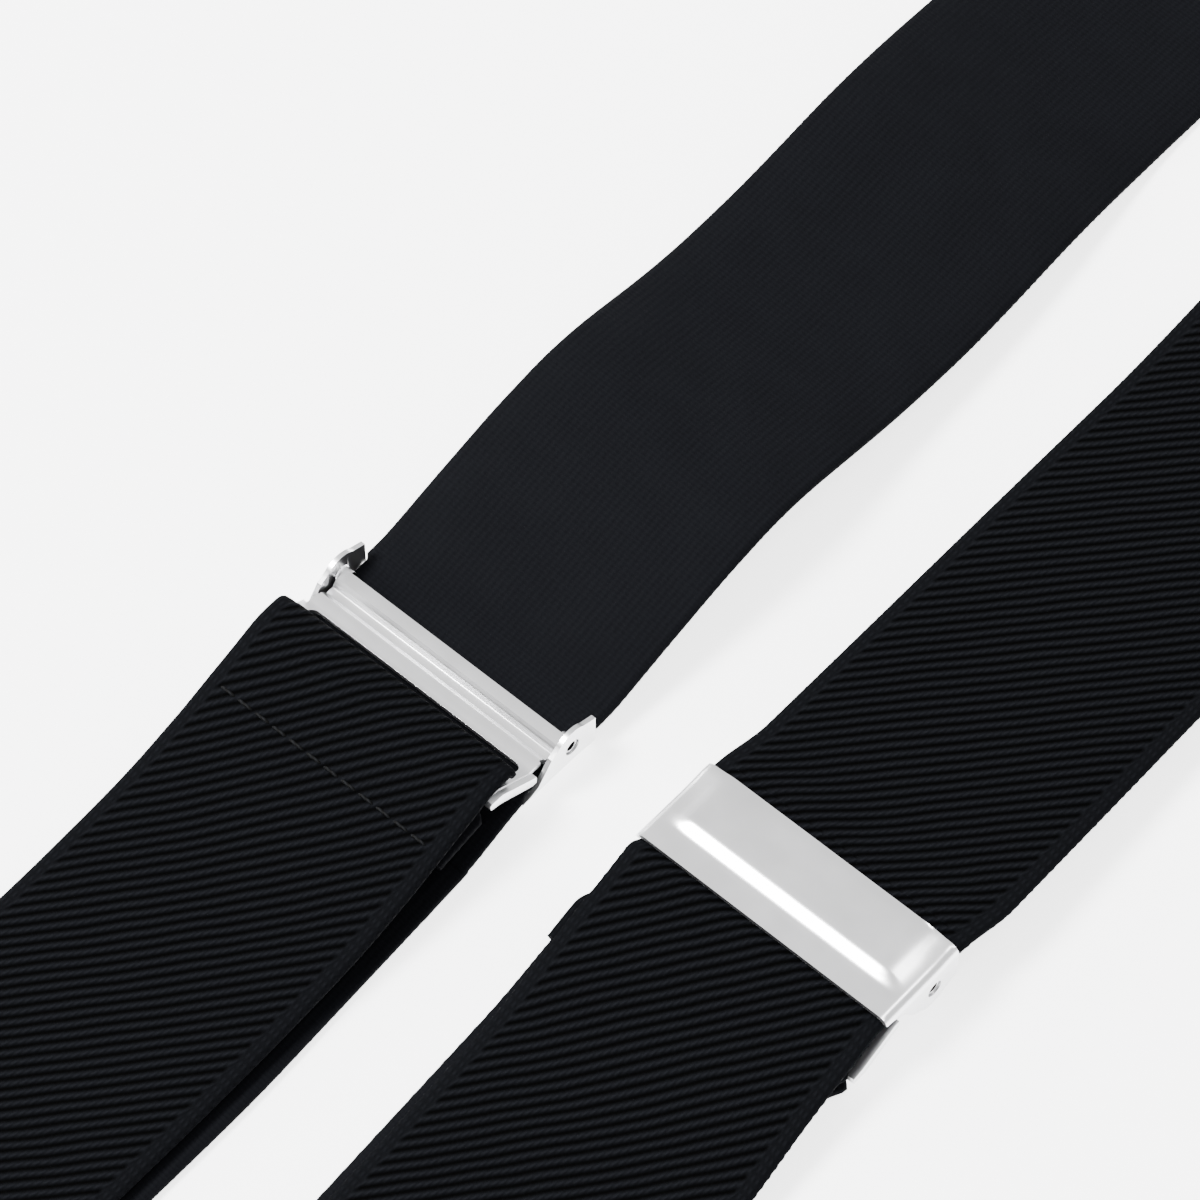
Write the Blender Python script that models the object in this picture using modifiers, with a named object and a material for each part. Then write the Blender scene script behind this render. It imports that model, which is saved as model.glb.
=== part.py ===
"""Adjustable X-back suspenders, laid out on a flat surface, as an assembly of separate solids.

Two elastic webbing straps cross under a leather back patch. Each strap runs from a sewn loop at its
back clip, over the patch and the shoulder, through a lever-lock adjuster slide, down to its front
clip, round the clip's bar and back up to the slide, where its end is sewn round the slide's loop bar.
The right strap lies face up. The left strap has a half turn in it, so that its slide and its front
clip lie face down.

Frame: metres, +Z up, origin on the surface under the middle of the back patch, +Y from the front
clips towards the back clips, +X to the strap that lies face up at the front.
All sizes below are in millimetres, and MM turns them into metres.
"""

import math

import bmesh
import bpy
from mathutils import Matrix, Vector

MM = 0.001

# Webbing
STRAP_HALF = 18.0
STRAP_THICK = 1.4
SQUEEZED_HALF = 17.0
LOOP_HALF = 17.5
FOLD_HALF = 14.3
PLY = STRAP_THICK + 0.3
ON_SURFACE = STRAP_THICK / 2
END_GAP = 0.3

# Layout on the surface
STRAP_X = 25.4
LEAN_ABOVE, LEAN_BELOW, LEAN_LENGTH = 0.024, 0.057, 75.0
CROSS_ANGLE = math.radians(20)
BEND_START = -380.0
BACK_LENGTH = 255.0
ROOT_END = -415.0
TWIST_START, TWIST_END = -400.0, -195.0
RIGHT_SLIDE_Y, LEFT_SLIDE_Y = -566.5, -569.3
CLIP_REACH = 150.0

# Adjuster slide, measured from its pivot axis: +Z to the cover's face, +Y to the shoulder
SHEET = 0.6
COVER_HALF = 18.2
COVER_REAR, COVER_FRONT = 3.9, -8.3
COVER_TOP, LIP_TOP = 4.2, 3.5
PIVOT_HOLE, PIVOT_STUB = 0.9, 0.6
CLAMP_LINE = 1.6
RIGHT_PIVOT_Z, LEFT_PIVOT_Z = 5.4, 4.5
BAR_HALF, ARM_HALF, WINDOW_HALF = 17.0, 17.3, 16.0
LOOP_BAR_Z = -3.4
LOOP_BAR_REAR, LOOP_BAR_FRONT = -11.8, -13.3
FOLD_Y, FOLD_RADIUS = -12.1, 1.3
CLAMPED_REAR, CLAMPED_FRONT = 5.4, -5.0
HEM_END, HEM_SPLIT = -22.0, -26.0
RIGHT_HEM_SHIFT, LEFT_HEM_SHIFT = 1.5, 0.9
APPROACH_END, LIFTING_END = 43.0, -77.0

# Trouser clip, measured from its strap bar: +Z to the lever's face, -Y to the jaw
PLATE = 0.9
CLIP_BAR = 1.2
LOOP_RADIUS = 2.2
CLIP_TOP_HALF, CLIP_JAW_HALF, CLIP_END = 20.5, 14.0, -47.0
SLOT_HALF, SLOT_FRONT = 17.9, -6.0
PIN_Y, PIN_Z, PIN_RADIUS, PIN_HOLE = -38.5, 5.6, 0.9, 1.2
EAR_INNER = 13.1
LEVER_Z, LEVER_HALF, LEVER_NECK_HALF, LEVER_REAR = 8.2, 15.5, 12.6, -9.5
CAM_BOTTOM = 3.5
FACE_UP_BAR_Z, FACE_DOWN_BAR_Z = 3.0, 8.75
FACE_UP_TILT = math.radians(3.0)
LOOP_END = 14.0

# Back patch
PATCH_HALF_X, PATCH_HALF_Y, PATCH_THICK = 34.0, 42.0, 1.6
PATCH_CURVE = 1.35
UNDER_STRAP_Z = PATCH_THICK + 0.3 + STRAP_THICK / 2
OVER_STRAP_Z = UNDER_STRAP_Z + PLY
PATCH_FLAT, UNDER_DOWN, OVER_DOWN = 46.0, 62.0, 92.0


def clear_scene():
    for obj in list(bpy.data.objects):
        bpy.data.objects.remove(obj)


def make_collection(name):
    made = bpy.data.collections.new(name)
    bpy.context.scene.collection.children.link(made)
    return made


def make_material(name, colour, metallic, roughness):
    material = bpy.data.materials.new(name)
    material.use_nodes = True
    shader = material.node_tree.nodes["Principled BSDF"]
    shader.inputs["Base Color"].default_value = (*colour, 1.0)
    shader.inputs["Metallic"].default_value = metallic
    shader.inputs["Roughness"].default_value = roughness
    return material


def add_object(name, bm, material, collection=None, parent=None, origin=(0, 0, 0)):
    """A mesh object from bm, whose points are in millimetres in its parent's axes, with its own origin."""
    bmesh.ops.translate(bm, verts=bm.verts, vec=-Vector(origin))
    bmesh.ops.scale(bm, verts=bm.verts, vec=(MM, MM, MM))
    mesh = bpy.data.meshes.new(name)
    bm.to_mesh(mesh)
    bm.free()
    if material:
        mesh.materials.append(material)
    obj = bpy.data.objects.new(name, mesh)
    (collection or PARTS).objects.link(obj)
    obj.location = Vector(origin) * MM
    obj.parent = parent
    return obj


def add_empty(name, location, rotation=None, parent=None):
    empty = bpy.data.objects.new(name, None)
    empty.empty_display_size = 0.01
    turn = rotation or Matrix.Identity(3)
    empty.matrix_world = Matrix.Translation(Vector(location) * MM) @ turn.to_4x4()
    empty.parent = parent
    PARTS.objects.link(empty)
    return empty


# ---------------------------------------------------------------- lines and strips


def flow(points, step):
    """A smooth line through points (Catmull-Rom), sampled about every step."""
    points = [Vector(p) for p in points]
    ends = [2 * points[0] - points[1], *points, 2 * points[-1] - points[-2]]
    line = []
    for before, a, b, after in zip(ends, ends[1:], ends[2:], ends[3:]):
        count = max(1, round((b - a).length / step))
        for k in range(count):
            t = k / count
            line.append(
                0.5 * (2 * a + (b - before) * t + (2 * before - 5 * a + 4 * b - after) * t**2
                       + (3 * a - before - 3 * b + after) * t**3)
            )
    return [*line, points[-1]]


def cut_line(line, at):
    """A (y, z) line in two where it passes y = at, with the end gap between them."""
    for k, (a, b) in enumerate(zip(line, line[1:])):
        if min(a[0], b[0]) <= at <= max(a[0], b[0]):
            point = a.lerp(b, (at - a[0]) / (b[0] - a[0]))
            half_gap = (b - a).normalized() * END_GAP / 2
            return [*line[: k + 1], point - half_gap], [point + half_gap, *line[k + 1 :]]
    raise ValueError(f"the line doesn't pass {at}")


def arc(centre, radius, start, end, count):
    """Points round centre in a (y, z) profile, angles in degrees from +Y towards +Z."""
    turn = [math.radians(start + (end - start) * k / count) for k in range(count + 1)]
    return [Vector((centre[0] + radius * math.cos(a), centre[1] + radius * math.sin(a))) for a in turn]


def ease(value, low, high):
    """0 up to low, 1 from high, and smooth between."""
    t = min(1.0, max(0.0, (value - low) / (high - low)))
    return t * t * (3 - 2 * t)


def strip(name, stations, thickness, material, **kwargs):
    """A bent strip: an open grid through (centre, half-width vector) stations, given its thickness."""
    bm = bmesh.new()
    bmesh.ops.create_grid(bm, x_segments=1, y_segments=len(stations) - 1, size=1.0)
    rows = sorted(bm.verts, key=lambda v: (round(v.co.y, 6), v.co.x))
    for k, (centre, half) in enumerate(stations):
        rows[2 * k].co = centre - half
        rows[2 * k + 1].co = centre + half
    bmesh.ops.recalc_face_normals(bm, faces=bm.faces)
    obj = add_object(name, bm, material, **kwargs)
    solid = obj.modifiers.new("Thickness", "SOLIDIFY")
    solid.thickness = thickness * MM
    solid.offset = 0.0
    solid.use_even_offset = True
    return obj


def profile_strip(name, profile, half, thickness, material, x=0.0, **kwargs):
    """A strip whose (y, z) profile runs straight across X. half and x are one value, or one a point."""
    halves = half if isinstance(half, list) else [half] * len(profile)
    xs = x if isinstance(x, list) else [x] * len(profile)
    stations = [(Vector((a, p[0], p[1])), Vector((h, 0, 0))) for a, p, h in zip(xs, profile, halves)]
    return strip(name, stations, thickness, material, **kwargs)


# ---------------------------------------------------------------- solids and cutters


def box_mesh(low, high):
    bm = bmesh.new()
    low, high = Vector(low), Vector(high)
    size = high - low
    bmesh.ops.create_cube(bm, size=1.0)
    bmesh.ops.scale(bm, verts=bm.verts, vec=size)
    bmesh.ops.translate(bm, verts=bm.verts, vec=(low + high) / 2)
    return bm


def rod_mesh(radius, half_length, y, z, sides=16, x=0.0):
    """A round rod along X."""
    bm = bmesh.new()
    bmesh.ops.create_cone(bm, cap_ends=True, segments=sides, radius1=radius, radius2=radius,
                          depth=2 * half_length)
    bmesh.ops.rotate(bm, verts=bm.verts, matrix=Matrix.Rotation(math.pi / 2, 3, "Y"))
    bmesh.ops.translate(bm, verts=bm.verts, vec=(x, y, z))
    return bm


def slab_mesh(outline, axis, low, high):
    """A flat outline, extruded from low to high along axis. Points are (y, z) for X and (x, y) for Z."""
    bm = bmesh.new()
    ring = [bm.verts.new((low, *p) if axis == "X" else (*p, low)) for p in outline]
    face = bm.faces.new(ring)
    grown = bmesh.ops.extrude_face_region(bm, geom=[face])["geom"]
    top = [v for v in grown if isinstance(v, bmesh.types.BMVert)]
    shift = Vector((high - low, 0, 0) if axis == "X" else (0, 0, high - low))
    bmesh.ops.translate(bm, verts=top, vec=shift)
    bmesh.ops.recalc_face_normals(bm, faces=bm.faces)
    return bm


def helper(bm, parent=None, origin=(0, 0, 0)):
    """A cutter, or a piece to join, which isn't a part itself."""
    obj = add_object("helper", bm, None, collection=CUTTERS, parent=parent, origin=origin)
    obj.hide_render = True
    obj.display_type = "WIRE"
    return obj


def boolean(obj, other, operation):
    modifier = obj.modifiers.new(operation.title(), "BOOLEAN")
    modifier.operation = operation
    modifier.solver = "EXACT"
    modifier.object = other


# ---------------------------------------------------------------- adjuster slide


def cover_outline(inset=0.0):
    """The cover's top line in (y, z), rear to front: flat, then down in an S to a lip. inset lowers it."""
    drop = COVER_TOP - LIP_TOP
    curve = [(-3.2 - 2.6 * t, COVER_TOP - drop * ease(t, 0, 1)) for t in (0, 0.25, 0.5, 0.75, 1)]
    return [(y, z - inset) for y, z in [(COVER_REAR, COVER_TOP), *curve, (COVER_FRONT, LIP_TOP)]]


def slide_cover(name, parent):
    """The lever: a pressed plate with two side walls, whose lobes hold the pivot."""
    lobe = arc((0, 0), 3.0, -135, -55, 6)
    lower = [(COVER_FRONT, 2.4), (-6.0, 1.6), (-4.2, -0.6), *map(tuple, lobe), (COVER_REAR, -1.6)]
    outline = [*cover_outline(), *lower]
    cover = add_object(name, slab_mesh(outline, "X", -COVER_HALF, COVER_HALF), NICKEL, parent=parent)
    inside = cover_outline(SHEET)
    inside = [(COVER_REAR + 1, inside[0][1]), *inside[1:-1], (COVER_FRONT - 1, inside[-1][1])]
    hollow = [*inside, (COVER_FRONT - 1, -5), (COVER_REAR + 1, -5)]
    inner = COVER_HALF - SHEET
    boolean(cover, helper(slab_mesh(hollow, "X", -inner, inner), parent), "DIFFERENCE")
    boolean(cover, helper(rod_mesh(PIVOT_HOLE, COVER_HALF + 2, 0, 0), parent), "DIFFERENCE")
    return cover


def clamp_frame(name, parent):
    """The clamp: a ribbed bar that presses the strap to the cover, two cranked arms and the loop bar."""
    profile = [(1.0, -0.7), (-0.6, -0.7), (-1.3, 0.3), (-3.4, 0.3), (-4.1, -0.7), (-6.4, -0.7),
               (-11.6, LOOP_BAR_Z), (LOOP_BAR_FRONT, LOOP_BAR_Z)]
    halves = [BAR_HALF] * 5 + [ARM_HALF] * 3
    frame = profile_strip(name, profile, halves, SHEET, NICKEL, parent=parent)
    window = box_mesh((-WINDOW_HALF, LOOP_BAR_REAR, -6), (WINDOW_HALF, -6.2, 3))
    boolean(frame, helper(window, parent), "DIFFERENCE")
    for side in (-1, 1):
        stub = rod_mesh(PIVOT_STUB, 1.5, 0, 0, sides=12, x=side * 16.4)
        boolean(frame, helper(stub, parent), "UNION")
    return frame


def make_slide(side, parent):
    return slide_cover(f"{side}_slide_cover", parent), clamp_frame(f"{side}_clamp_frame", parent)


# ---------------------------------------------------------------- trouser clip


def clip_base(name, parent):
    """The back plate: a bar for the strap loop, a jaw plate and two ears for the pin."""
    half = [(CLIP_TOP_HALF, 0.0), (CLIP_TOP_HALF, -8.5), (CLIP_JAW_HALF, -18.0), (CLIP_JAW_HALF, -43.5),
            (CLIP_JAW_HALF - 1.5, -45.8), (CLIP_JAW_HALF - 4.0, CLIP_END)]
    outline = [*half, *[(-x, y) for x, y in reversed(half)]]
    plate = slab_mesh(outline, "Z", -PLATE / 2, PLATE / 2)
    base = add_object(name, plate, NICKEL, parent=parent)
    slot = box_mesh((-SLOT_HALF, SLOT_FRONT, -3), (SLOT_HALF, 5, 3))
    boolean(base, helper(slot, parent), "DIFFERENCE")
    boolean(base, helper(rod_mesh(CLIP_BAR, 19.6, 0, 0), parent), "UNION")
    ear = [(-43.0, 0), (-31.0, 0), (-35.0, 7.1), (-41.2, 7.1)]
    for side in (-1, 1):
        walls = sorted((side * EAR_INNER, side * (EAR_INNER + PLATE)))
        boolean(base, helper(slab_mesh(ear, "X", *walls), parent), "UNION")
    boolean(base, helper(rod_mesh(PIN_HOLE, 18, PIN_Y, PIN_Z), parent), "DIFFERENCE")
    return base


def clip_lever(name, parent):
    """The front plate, which is the lever: its free end lifts from the strap's side."""
    origin = (0, PIN_Y, PIN_Z)
    neck = LEVER_NECK_HALF
    profile = [(PIN_Y - 2.9, PIN_Z + 1.2), (PIN_Y - 2.3, PIN_Z + 2.1), (PIN_Y - 1.0, LEVER_Z),
               (PIN_Y + 4.5, LEVER_Z), (PIN_Y + 9.5, LEVER_Z), (-14.0, LEVER_Z), (LEVER_REAR, LEVER_Z - 0.5)]
    halves = [neck - 1.0, neck, neck, neck, LEVER_HALF, LEVER_HALF, LEVER_HALF - 1.0]
    lever = profile_strip(name, profile, halves, PLATE, NICKEL, parent=parent, origin=origin)
    ear = [(PIN_Y - 1.4, LEVER_Z), (PIN_Y + 4.5, LEVER_Z), (PIN_Y + 2.0, PIN_Z - 1.4), (PIN_Y - 1.0, PIN_Z - 1.9),
           (PIN_Y - 2.1, PIN_Z - 0.4)]
    for side in (-1, 1):
        walls = sorted((side * (LEVER_NECK_HALF - PLATE), side * LEVER_NECK_HALF))
        boolean(lever, helper(slab_mesh(ear, "X", *walls), parent), "UNION")
    boolean(lever, helper(rod_mesh(PIN_HOLE, 13, PIN_Y, PIN_Z), parent), "DIFFERENCE")
    return lever


def clip_cam(name, parent):
    """The toothed cam under the lever: deep below the pin when shut, shallow when the lever is lifted."""
    y, z = PIN_Y, PIN_Z
    shape = [(y - 1.9, z + 1.6), (y - 1.6, z - 0.6), (y - 0.9, z - 2.6), (y, z - CAM_BOTTOM),
             (y + 1.6, z - CAM_BOTTOM), (y + 3.0, z - 2.2), (y + 3.4, z + 1.6)]
    cam = add_object(name, slab_mesh(shape, "X", -11.3, 11.3), PLASTIC, parent=parent, origin=(0, y, z))
    boolean(cam, helper(rod_mesh(PIN_HOLE, 13, y, z), parent), "DIFFERENCE")
    return cam


def make_clip(side, parent):
    clip_base(f"{side}_clip_base", parent)
    pad = box_mesh((-12.4, -45.0, 0.75), (12.4, -30.0, 1.75))
    add_object(f"{side}_clip_pad", pad, PLASTIC, parent=parent)
    pin = rod_mesh(PIN_RADIUS, 14.8, PIN_Y, PIN_Z, sides=12)
    add_object(f"{side}_clip_pin", pin, NICKEL, parent=parent, origin=(0, PIN_Y, PIN_Z))
    clip_lever(f"{side}_clip_lever", parent)
    clip_cam(f"{side}_clip_cam", parent)


# ---------------------------------------------------------------- straps near the slides


def lean(ahead):
    """How far the strap stands to +X of a line along Y, ahead millimetres above the slide's pivot."""
    if ahead > 0:
        return -LEAN_ABOVE * ahead
    return LEAN_BELOW * min(-ahead, LEAN_LENGTH)


def slide_x(side):
    """The slide's middle: the strap leans from here to STRAP_X where the shoulder strap starts."""
    slide_y = RIGHT_SLIDE_Y if side > 0 else LEFT_SLIDE_Y
    return side * STRAP_X - lean(ROOT_END - slide_y)


def run_half(y, slide_y):
    """Half the width: squeezed in the slide, a little narrower in the clip's loop, full elsewhere."""
    near = ease(y - slide_y, 4.5, 10.0) if y > slide_y else ease(slide_y - y, 8.5, 14.0)
    low = ease(y - slide_y + CLIP_REACH, LOOP_END, LOOP_END + 24.0)
    return min(SQUEEZED_HALF + (STRAP_HALF - SQUEEZED_HALF) * near, LOOP_HALF + (STRAP_HALF - LOOP_HALF) * low)


def web(name, profile, x, slide_y, half=None):
    """A stretch of webbing along a (y, z) profile. x is the slide's middle."""
    halves = half or [run_half(p[0], slide_y) for p in profile]
    xs = [x + lean(p[0] - slide_y) for p in profile]
    return profile_strip(name, profile, halves, STRAP_THICK, WEBBING, x=xs)


def hem_widths(profile, slide_y):
    """Full width away from the loop bar, gathered where the strap goes through the frame's window."""
    narrow = STRAP_HALF - FOLD_HALF
    return [STRAP_HALF - narrow * ease(p[0], slide_y - 15.5, slide_y - 12.1) for p in profile]


def right_front_straps():
    """Face up: the main layer is on top, and the return layer lies on the surface."""
    y, z, x = RIGHT_SLIDE_Y, RIGHT_PIVOT_Z, slide_x(1)
    clip_y = y - CLIP_REACH
    bar_z = FACE_UP_BAR_Z
    on_top = ON_SURFACE + PLY
    main_line = z + CLAMP_LINE
    clamped = [(y + CLAMPED_REAR, main_line), (y + CLAMPED_FRONT, main_line)]
    web("right_clamped_run", clamped, x, y)
    rise = flow([(y + CLAMPED_REAR + END_GAP, main_line), (y + 9, main_line), (y + 30, 5.8), (y + 60, 4.2),
                 (y + 100, 1.8), (y + 130, ON_SURFACE), (ROOT_END - END_GAP, ON_SURFACE)], 8.0)
    approach, sliding = cut_line(rise, y + APPROACH_END)
    web("right_approach_run", approach, x, y)
    web("right_sliding_run", sliding, x, y)
    front = flow([(y + CLAMPED_FRONT - END_GAP, main_line), (y - 8.6, main_line), (y - 15, 5.6), (y - 24, 4.4),
                  (y - 44, on_top), (clip_y + 50, on_top), (clip_y + 30, 3.0),
                  (clip_y + LOOP_END + END_GAP, 4.6)], 6.0)
    web("right_front_run", front, x, y)
    bar = (y + FOLD_Y, z + LOOP_BAR_Z)
    inner = flow([(y + HEM_END, on_top + 0.1), (y - 17, 3.0), (bar[0], bar[1] + FOLD_RADIUS)], 3.0)
    outer = flow([(bar[0], bar[1] - FOLD_RADIUS), (y - 18, 0.75), (y + HEM_SPLIT, ON_SURFACE)], 3.0)
    sewn = [*inner, *arc(bar, FOLD_RADIUS, 67, -67, 4), *outer]
    web("right_return_hem", sewn, x - RIGHT_HEM_SHIFT, y, hem_widths(sewn, y))
    back = flow([(y + HEM_SPLIT - END_GAP, ON_SURFACE), (clip_y + 40, ON_SURFACE), (clip_y + 26, 0.75),
                 (clip_y + LOOP_END + END_GAP, ON_SURFACE + 0.2)], 10.0)
    web("right_return_run", back, x - RIGHT_HEM_SHIFT, y)
    upper = flow([(clip_y + LOOP_END, 4.6), (clip_y + 6, 5.1), (clip_y, bar_z + LOOP_RADIUS)], 3.0)
    lower = flow([(clip_y, bar_z - LOOP_RADIUS), (clip_y + 6, 0.85), (clip_y + LOOP_END, ON_SURFACE + 0.2)], 3.0)
    around = arc((clip_y, bar_z), LOOP_RADIUS, 112, 248, 6)
    web("right_clip_loop", [*upper, *around, *lower], x, y)


def left_front_straps():
    """Face down: the main layer lies on the surface, and the return layer is on top."""
    y, z, x = LEFT_SLIDE_Y, LEFT_PIVOT_Z, slide_x(-1)
    clip_y = y - CLIP_REACH
    bar_z = FACE_DOWN_BAR_Z
    on_top = ON_SURFACE + PLY
    main_line = z - CLAMP_LINE
    clamped = [(y + CLAMPED_REAR, main_line), (y + CLAMPED_FRONT, main_line)]
    web("left_clamped_run", clamped, x, y)
    hump = flow([(y + CLAMPED_REAR + END_GAP, main_line), (y + 9, 3.3), (y + 19, 5.8), (y + 30, 8.1),
                 (y + 41, 8.7), (y + 61, 5.8), (y + 91, 5.0), (y + 115, 2.0), (y + 135, ON_SURFACE),
                 (ROOT_END - END_GAP, ON_SURFACE)], 6.0)
    web("left_sliding_run", hump, x, y)
    front = flow([(y + CLAMPED_FRONT - END_GAP, main_line), (y - 10, main_line), (y - 18, 1.2),
                  (y - 26, ON_SURFACE), (clip_y + 60, ON_SURFACE), (clip_y + 36, 1.9),
                  (clip_y + LOOP_END + END_GAP, 6.3)], 8.0)
    web("left_front_run", front, x, y)
    bar = (y + FOLD_Y, z - LOOP_BAR_Z)
    inner = flow([(y + HEM_END, 5.2), (y - 17, 5.9), (bar[0], bar[1] - FOLD_RADIUS)], 3.0)
    outer = flow([(bar[0], bar[1] + FOLD_RADIUS), (y - 17, 8.3), (y + HEM_END, 7.2), (y + HEM_SPLIT, 6.2)], 3.0)
    sewn = [*inner, *arc(bar, FOLD_RADIUS, -67, 67, 4), *outer]
    web("left_return_hem", sewn, x - LEFT_HEM_SHIFT, y, hem_widths(sewn, y))
    back = flow([(y + HEM_SPLIT - END_GAP, 6.15), (y - 40, 3.7), (y - 60, on_top + 0.1), (clip_y + 60, on_top + 0.1),
                 (clip_y + 36, 4.0), (clip_y + LOOP_END + END_GAP, 9.7)], 8.0)
    lifting, resting = cut_line(back, y + LIFTING_END)
    web("left_lifting_run", lifting, x - LEFT_HEM_SHIFT, y)
    web("left_return_run", resting, x - LEFT_HEM_SHIFT, y)
    upper = flow([(clip_y, bar_z + LOOP_RADIUS), (clip_y + 6, 10.8), (clip_y + LOOP_END, 9.7)], 3.0)
    lower = flow([(clip_y + LOOP_END, 6.3), (clip_y + 6, 6.5), (clip_y, bar_z - LOOP_RADIUS)], 3.0)
    around = arc((clip_y, bar_z), LOOP_RADIUS, 248, 112, 6)
    web("left_clip_loop", [*lower, *around, *upper], x, y)


# ---------------------------------------------------------------- shoulder straps and patch


def plan(y, side):
    """The shoulder strap's centre line seen from above: (x, heading slope dx/dy)."""
    slope = -math.tan(CROSS_ANGLE)
    if y >= 0:
        return side * slope * y, side * slope
    if y <= BEND_START:
        return side * STRAP_X, 0.0
    span = -BEND_START
    t = (y - BEND_START) / span
    x = STRAP_X * (2 * t**3 - 3 * t**2 + 1) + slope * span * (t**3 - t**2)
    dx = STRAP_X * (6 * t**2 - 6 * t) / span + slope * (3 * t**2 - 2 * t)
    return side * x, side * dx


def strap_station(y, z, side, roll=0.0, half_width=STRAP_HALF):
    x, slope = plan(y, side)
    across = Vector((1, -slope, 0)).normalized()
    half = across * math.cos(roll) + Vector((0, 0, 1)) * math.sin(roll)
    return Vector((x, y, z)), half * half_width


def shoulder_strap(name, side, crossing_z, down):
    """From the slide's end of the strap, over the patch, to the sewn loop round the back clip's bar."""
    turned = side < 0
    stations = []
    y = ROOT_END
    clip_y = BACK_LENGTH * math.cos(CROSS_ANGLE)
    while y < clip_y - 80:
        twist = math.pi * (1 - ease(y, TWIST_START, TWIST_END)) if turned else 0.0
        lifted = STRAP_HALF * abs(math.sin(twist)) + ON_SURFACE * abs(math.cos(twist))
        lowered = ease(abs(y), PATCH_FLAT, down)
        z = lifted if y < -down else crossing_z + (ON_SURFACE - crossing_z) * lowered
        stations.append(strap_station(y, z, side, twist))
        in_twist = turned and TWIST_START < y < TWIST_END
        near_patch = PATCH_FLAT - 12 < abs(y) < down
        y += 9.0 if in_twist or near_patch else 20.0
    bar_z = FACE_UP_BAR_Z
    near = flow([(76, ON_SURFACE), (60, 0.9), (44, 2.5), (26, 3.6), (12, 4.9), (0, bar_z + LOOP_RADIUS)], 7.0)
    around = arc((0, bar_z), LOOP_RADIUS, 68, -68, 6)
    under = flow([(0, bar_z - LOOP_RADIUS), (12, ON_SURFACE), (38, ON_SURFACE)], 9.0)
    cosine = math.cos(CROSS_ANGLE)
    for from_bar, z in [*map(tuple, near), *[(-p[0], p[1]) for p in around], *map(tuple, under)]:
        half = LOOP_HALF + (STRAP_HALF - LOOP_HALF) * ease(from_bar, 12, 40)
        stations.append(strap_station(clip_y - from_bar * cosine, z, side, half_width=half))
    return strip(name, stations, STRAP_THICK, WEBBING)


def patch(name, low, material):
    """A leather diamond with round corners: |x/a|^n + |y/b|^n = 1."""
    bm = bmesh.new()
    bmesh.ops.create_circle(bm, cap_ends=True, segments=36, radius=1.0)
    for v in bm.verts:
        angle = math.atan2(v.co.y, v.co.x)
        c, s = math.cos(angle), math.sin(angle)
        reach = (abs(c) ** PATCH_CURVE + abs(s) ** PATCH_CURVE) ** (-1 / PATCH_CURVE)
        v.co = Vector((c * reach * PATCH_HALF_X, s * reach * PATCH_HALF_Y, low))
    grown = bmesh.ops.extrude_face_region(bm, geom=bm.faces[:])["geom"]
    top = [v for v in grown if isinstance(v, bmesh.types.BMVert)]
    bmesh.ops.translate(bm, verts=top, vec=(0, 0, PATCH_THICK))
    bmesh.ops.recalc_face_normals(bm, faces=bm.faces)
    return add_object(name, bm, material)


def main():
    patch("patch_underside", 0.0, LEATHER)
    patch("patch_top", OVER_STRAP_Z + STRAP_THICK / 2 + 0.3, LEATHER)
    shoulder_strap("right_shoulder_strap", 1, OVER_STRAP_Z, OVER_DOWN)
    shoulder_strap("left_shoulder_strap", -1, UNDER_STRAP_Z, UNDER_DOWN)
    right_front_straps()
    left_front_straps()

    face_down = Matrix.Rotation(math.pi, 3, "Y")
    right_slide = add_empty("right_slide", (slide_x(1), RIGHT_SLIDE_Y, RIGHT_PIVOT_Z))
    left_slide = add_empty("left_slide", (slide_x(-1), LEFT_SLIDE_Y, LEFT_PIVOT_Z), face_down)
    make_slide("right", right_slide)
    make_slide("left", left_slide)

    tilt = Matrix.Rotation(FACE_UP_TILT, 3, "X")
    right_y, left_y = RIGHT_SLIDE_Y - CLIP_REACH, LEFT_SLIDE_Y - CLIP_REACH
    right_x, left_x = (slide_x(side) + lean(-CLIP_REACH) for side in (1, -1))
    make_clip("right_front", add_empty("right_front_clip", (right_x, right_y, FACE_UP_BAR_Z), tilt))
    make_clip("left_front", add_empty("left_front_clip", (left_x, left_y, FACE_DOWN_BAR_Z), face_down))
    back_y = BACK_LENGTH * math.cos(CROSS_ANGLE)
    for name, side in (("right", 1), ("left", -1)):
        x, _ = plan(back_y, side)
        turn = Matrix.Rotation(math.pi + side * CROSS_ANGLE, 3, "Z") @ tilt
        make_clip(f"{name}_back", add_empty(f"{name}_back_clip", (x, back_y, FACE_UP_BAR_Z), turn))


clear_scene()
PARTS = make_collection("Suspenders")
CUTTERS = make_collection("Cutters")
WEBBING = make_material("Black elastic webbing", (0.012, 0.012, 0.015), 0.0, 0.85)
NICKEL = make_material("Nickel-plated steel", (0.80, 0.80, 0.79), 1.0, 0.28)
LEATHER = make_material("Black leather", (0.02, 0.02, 0.022), 0.0, 0.5)
PLASTIC = make_material("Black nylon", (0.02, 0.02, 0.02), 0.0, 0.45)
main()
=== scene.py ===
import math

import bmesh
import bpy
from mathutils import Matrix, Vector


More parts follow.
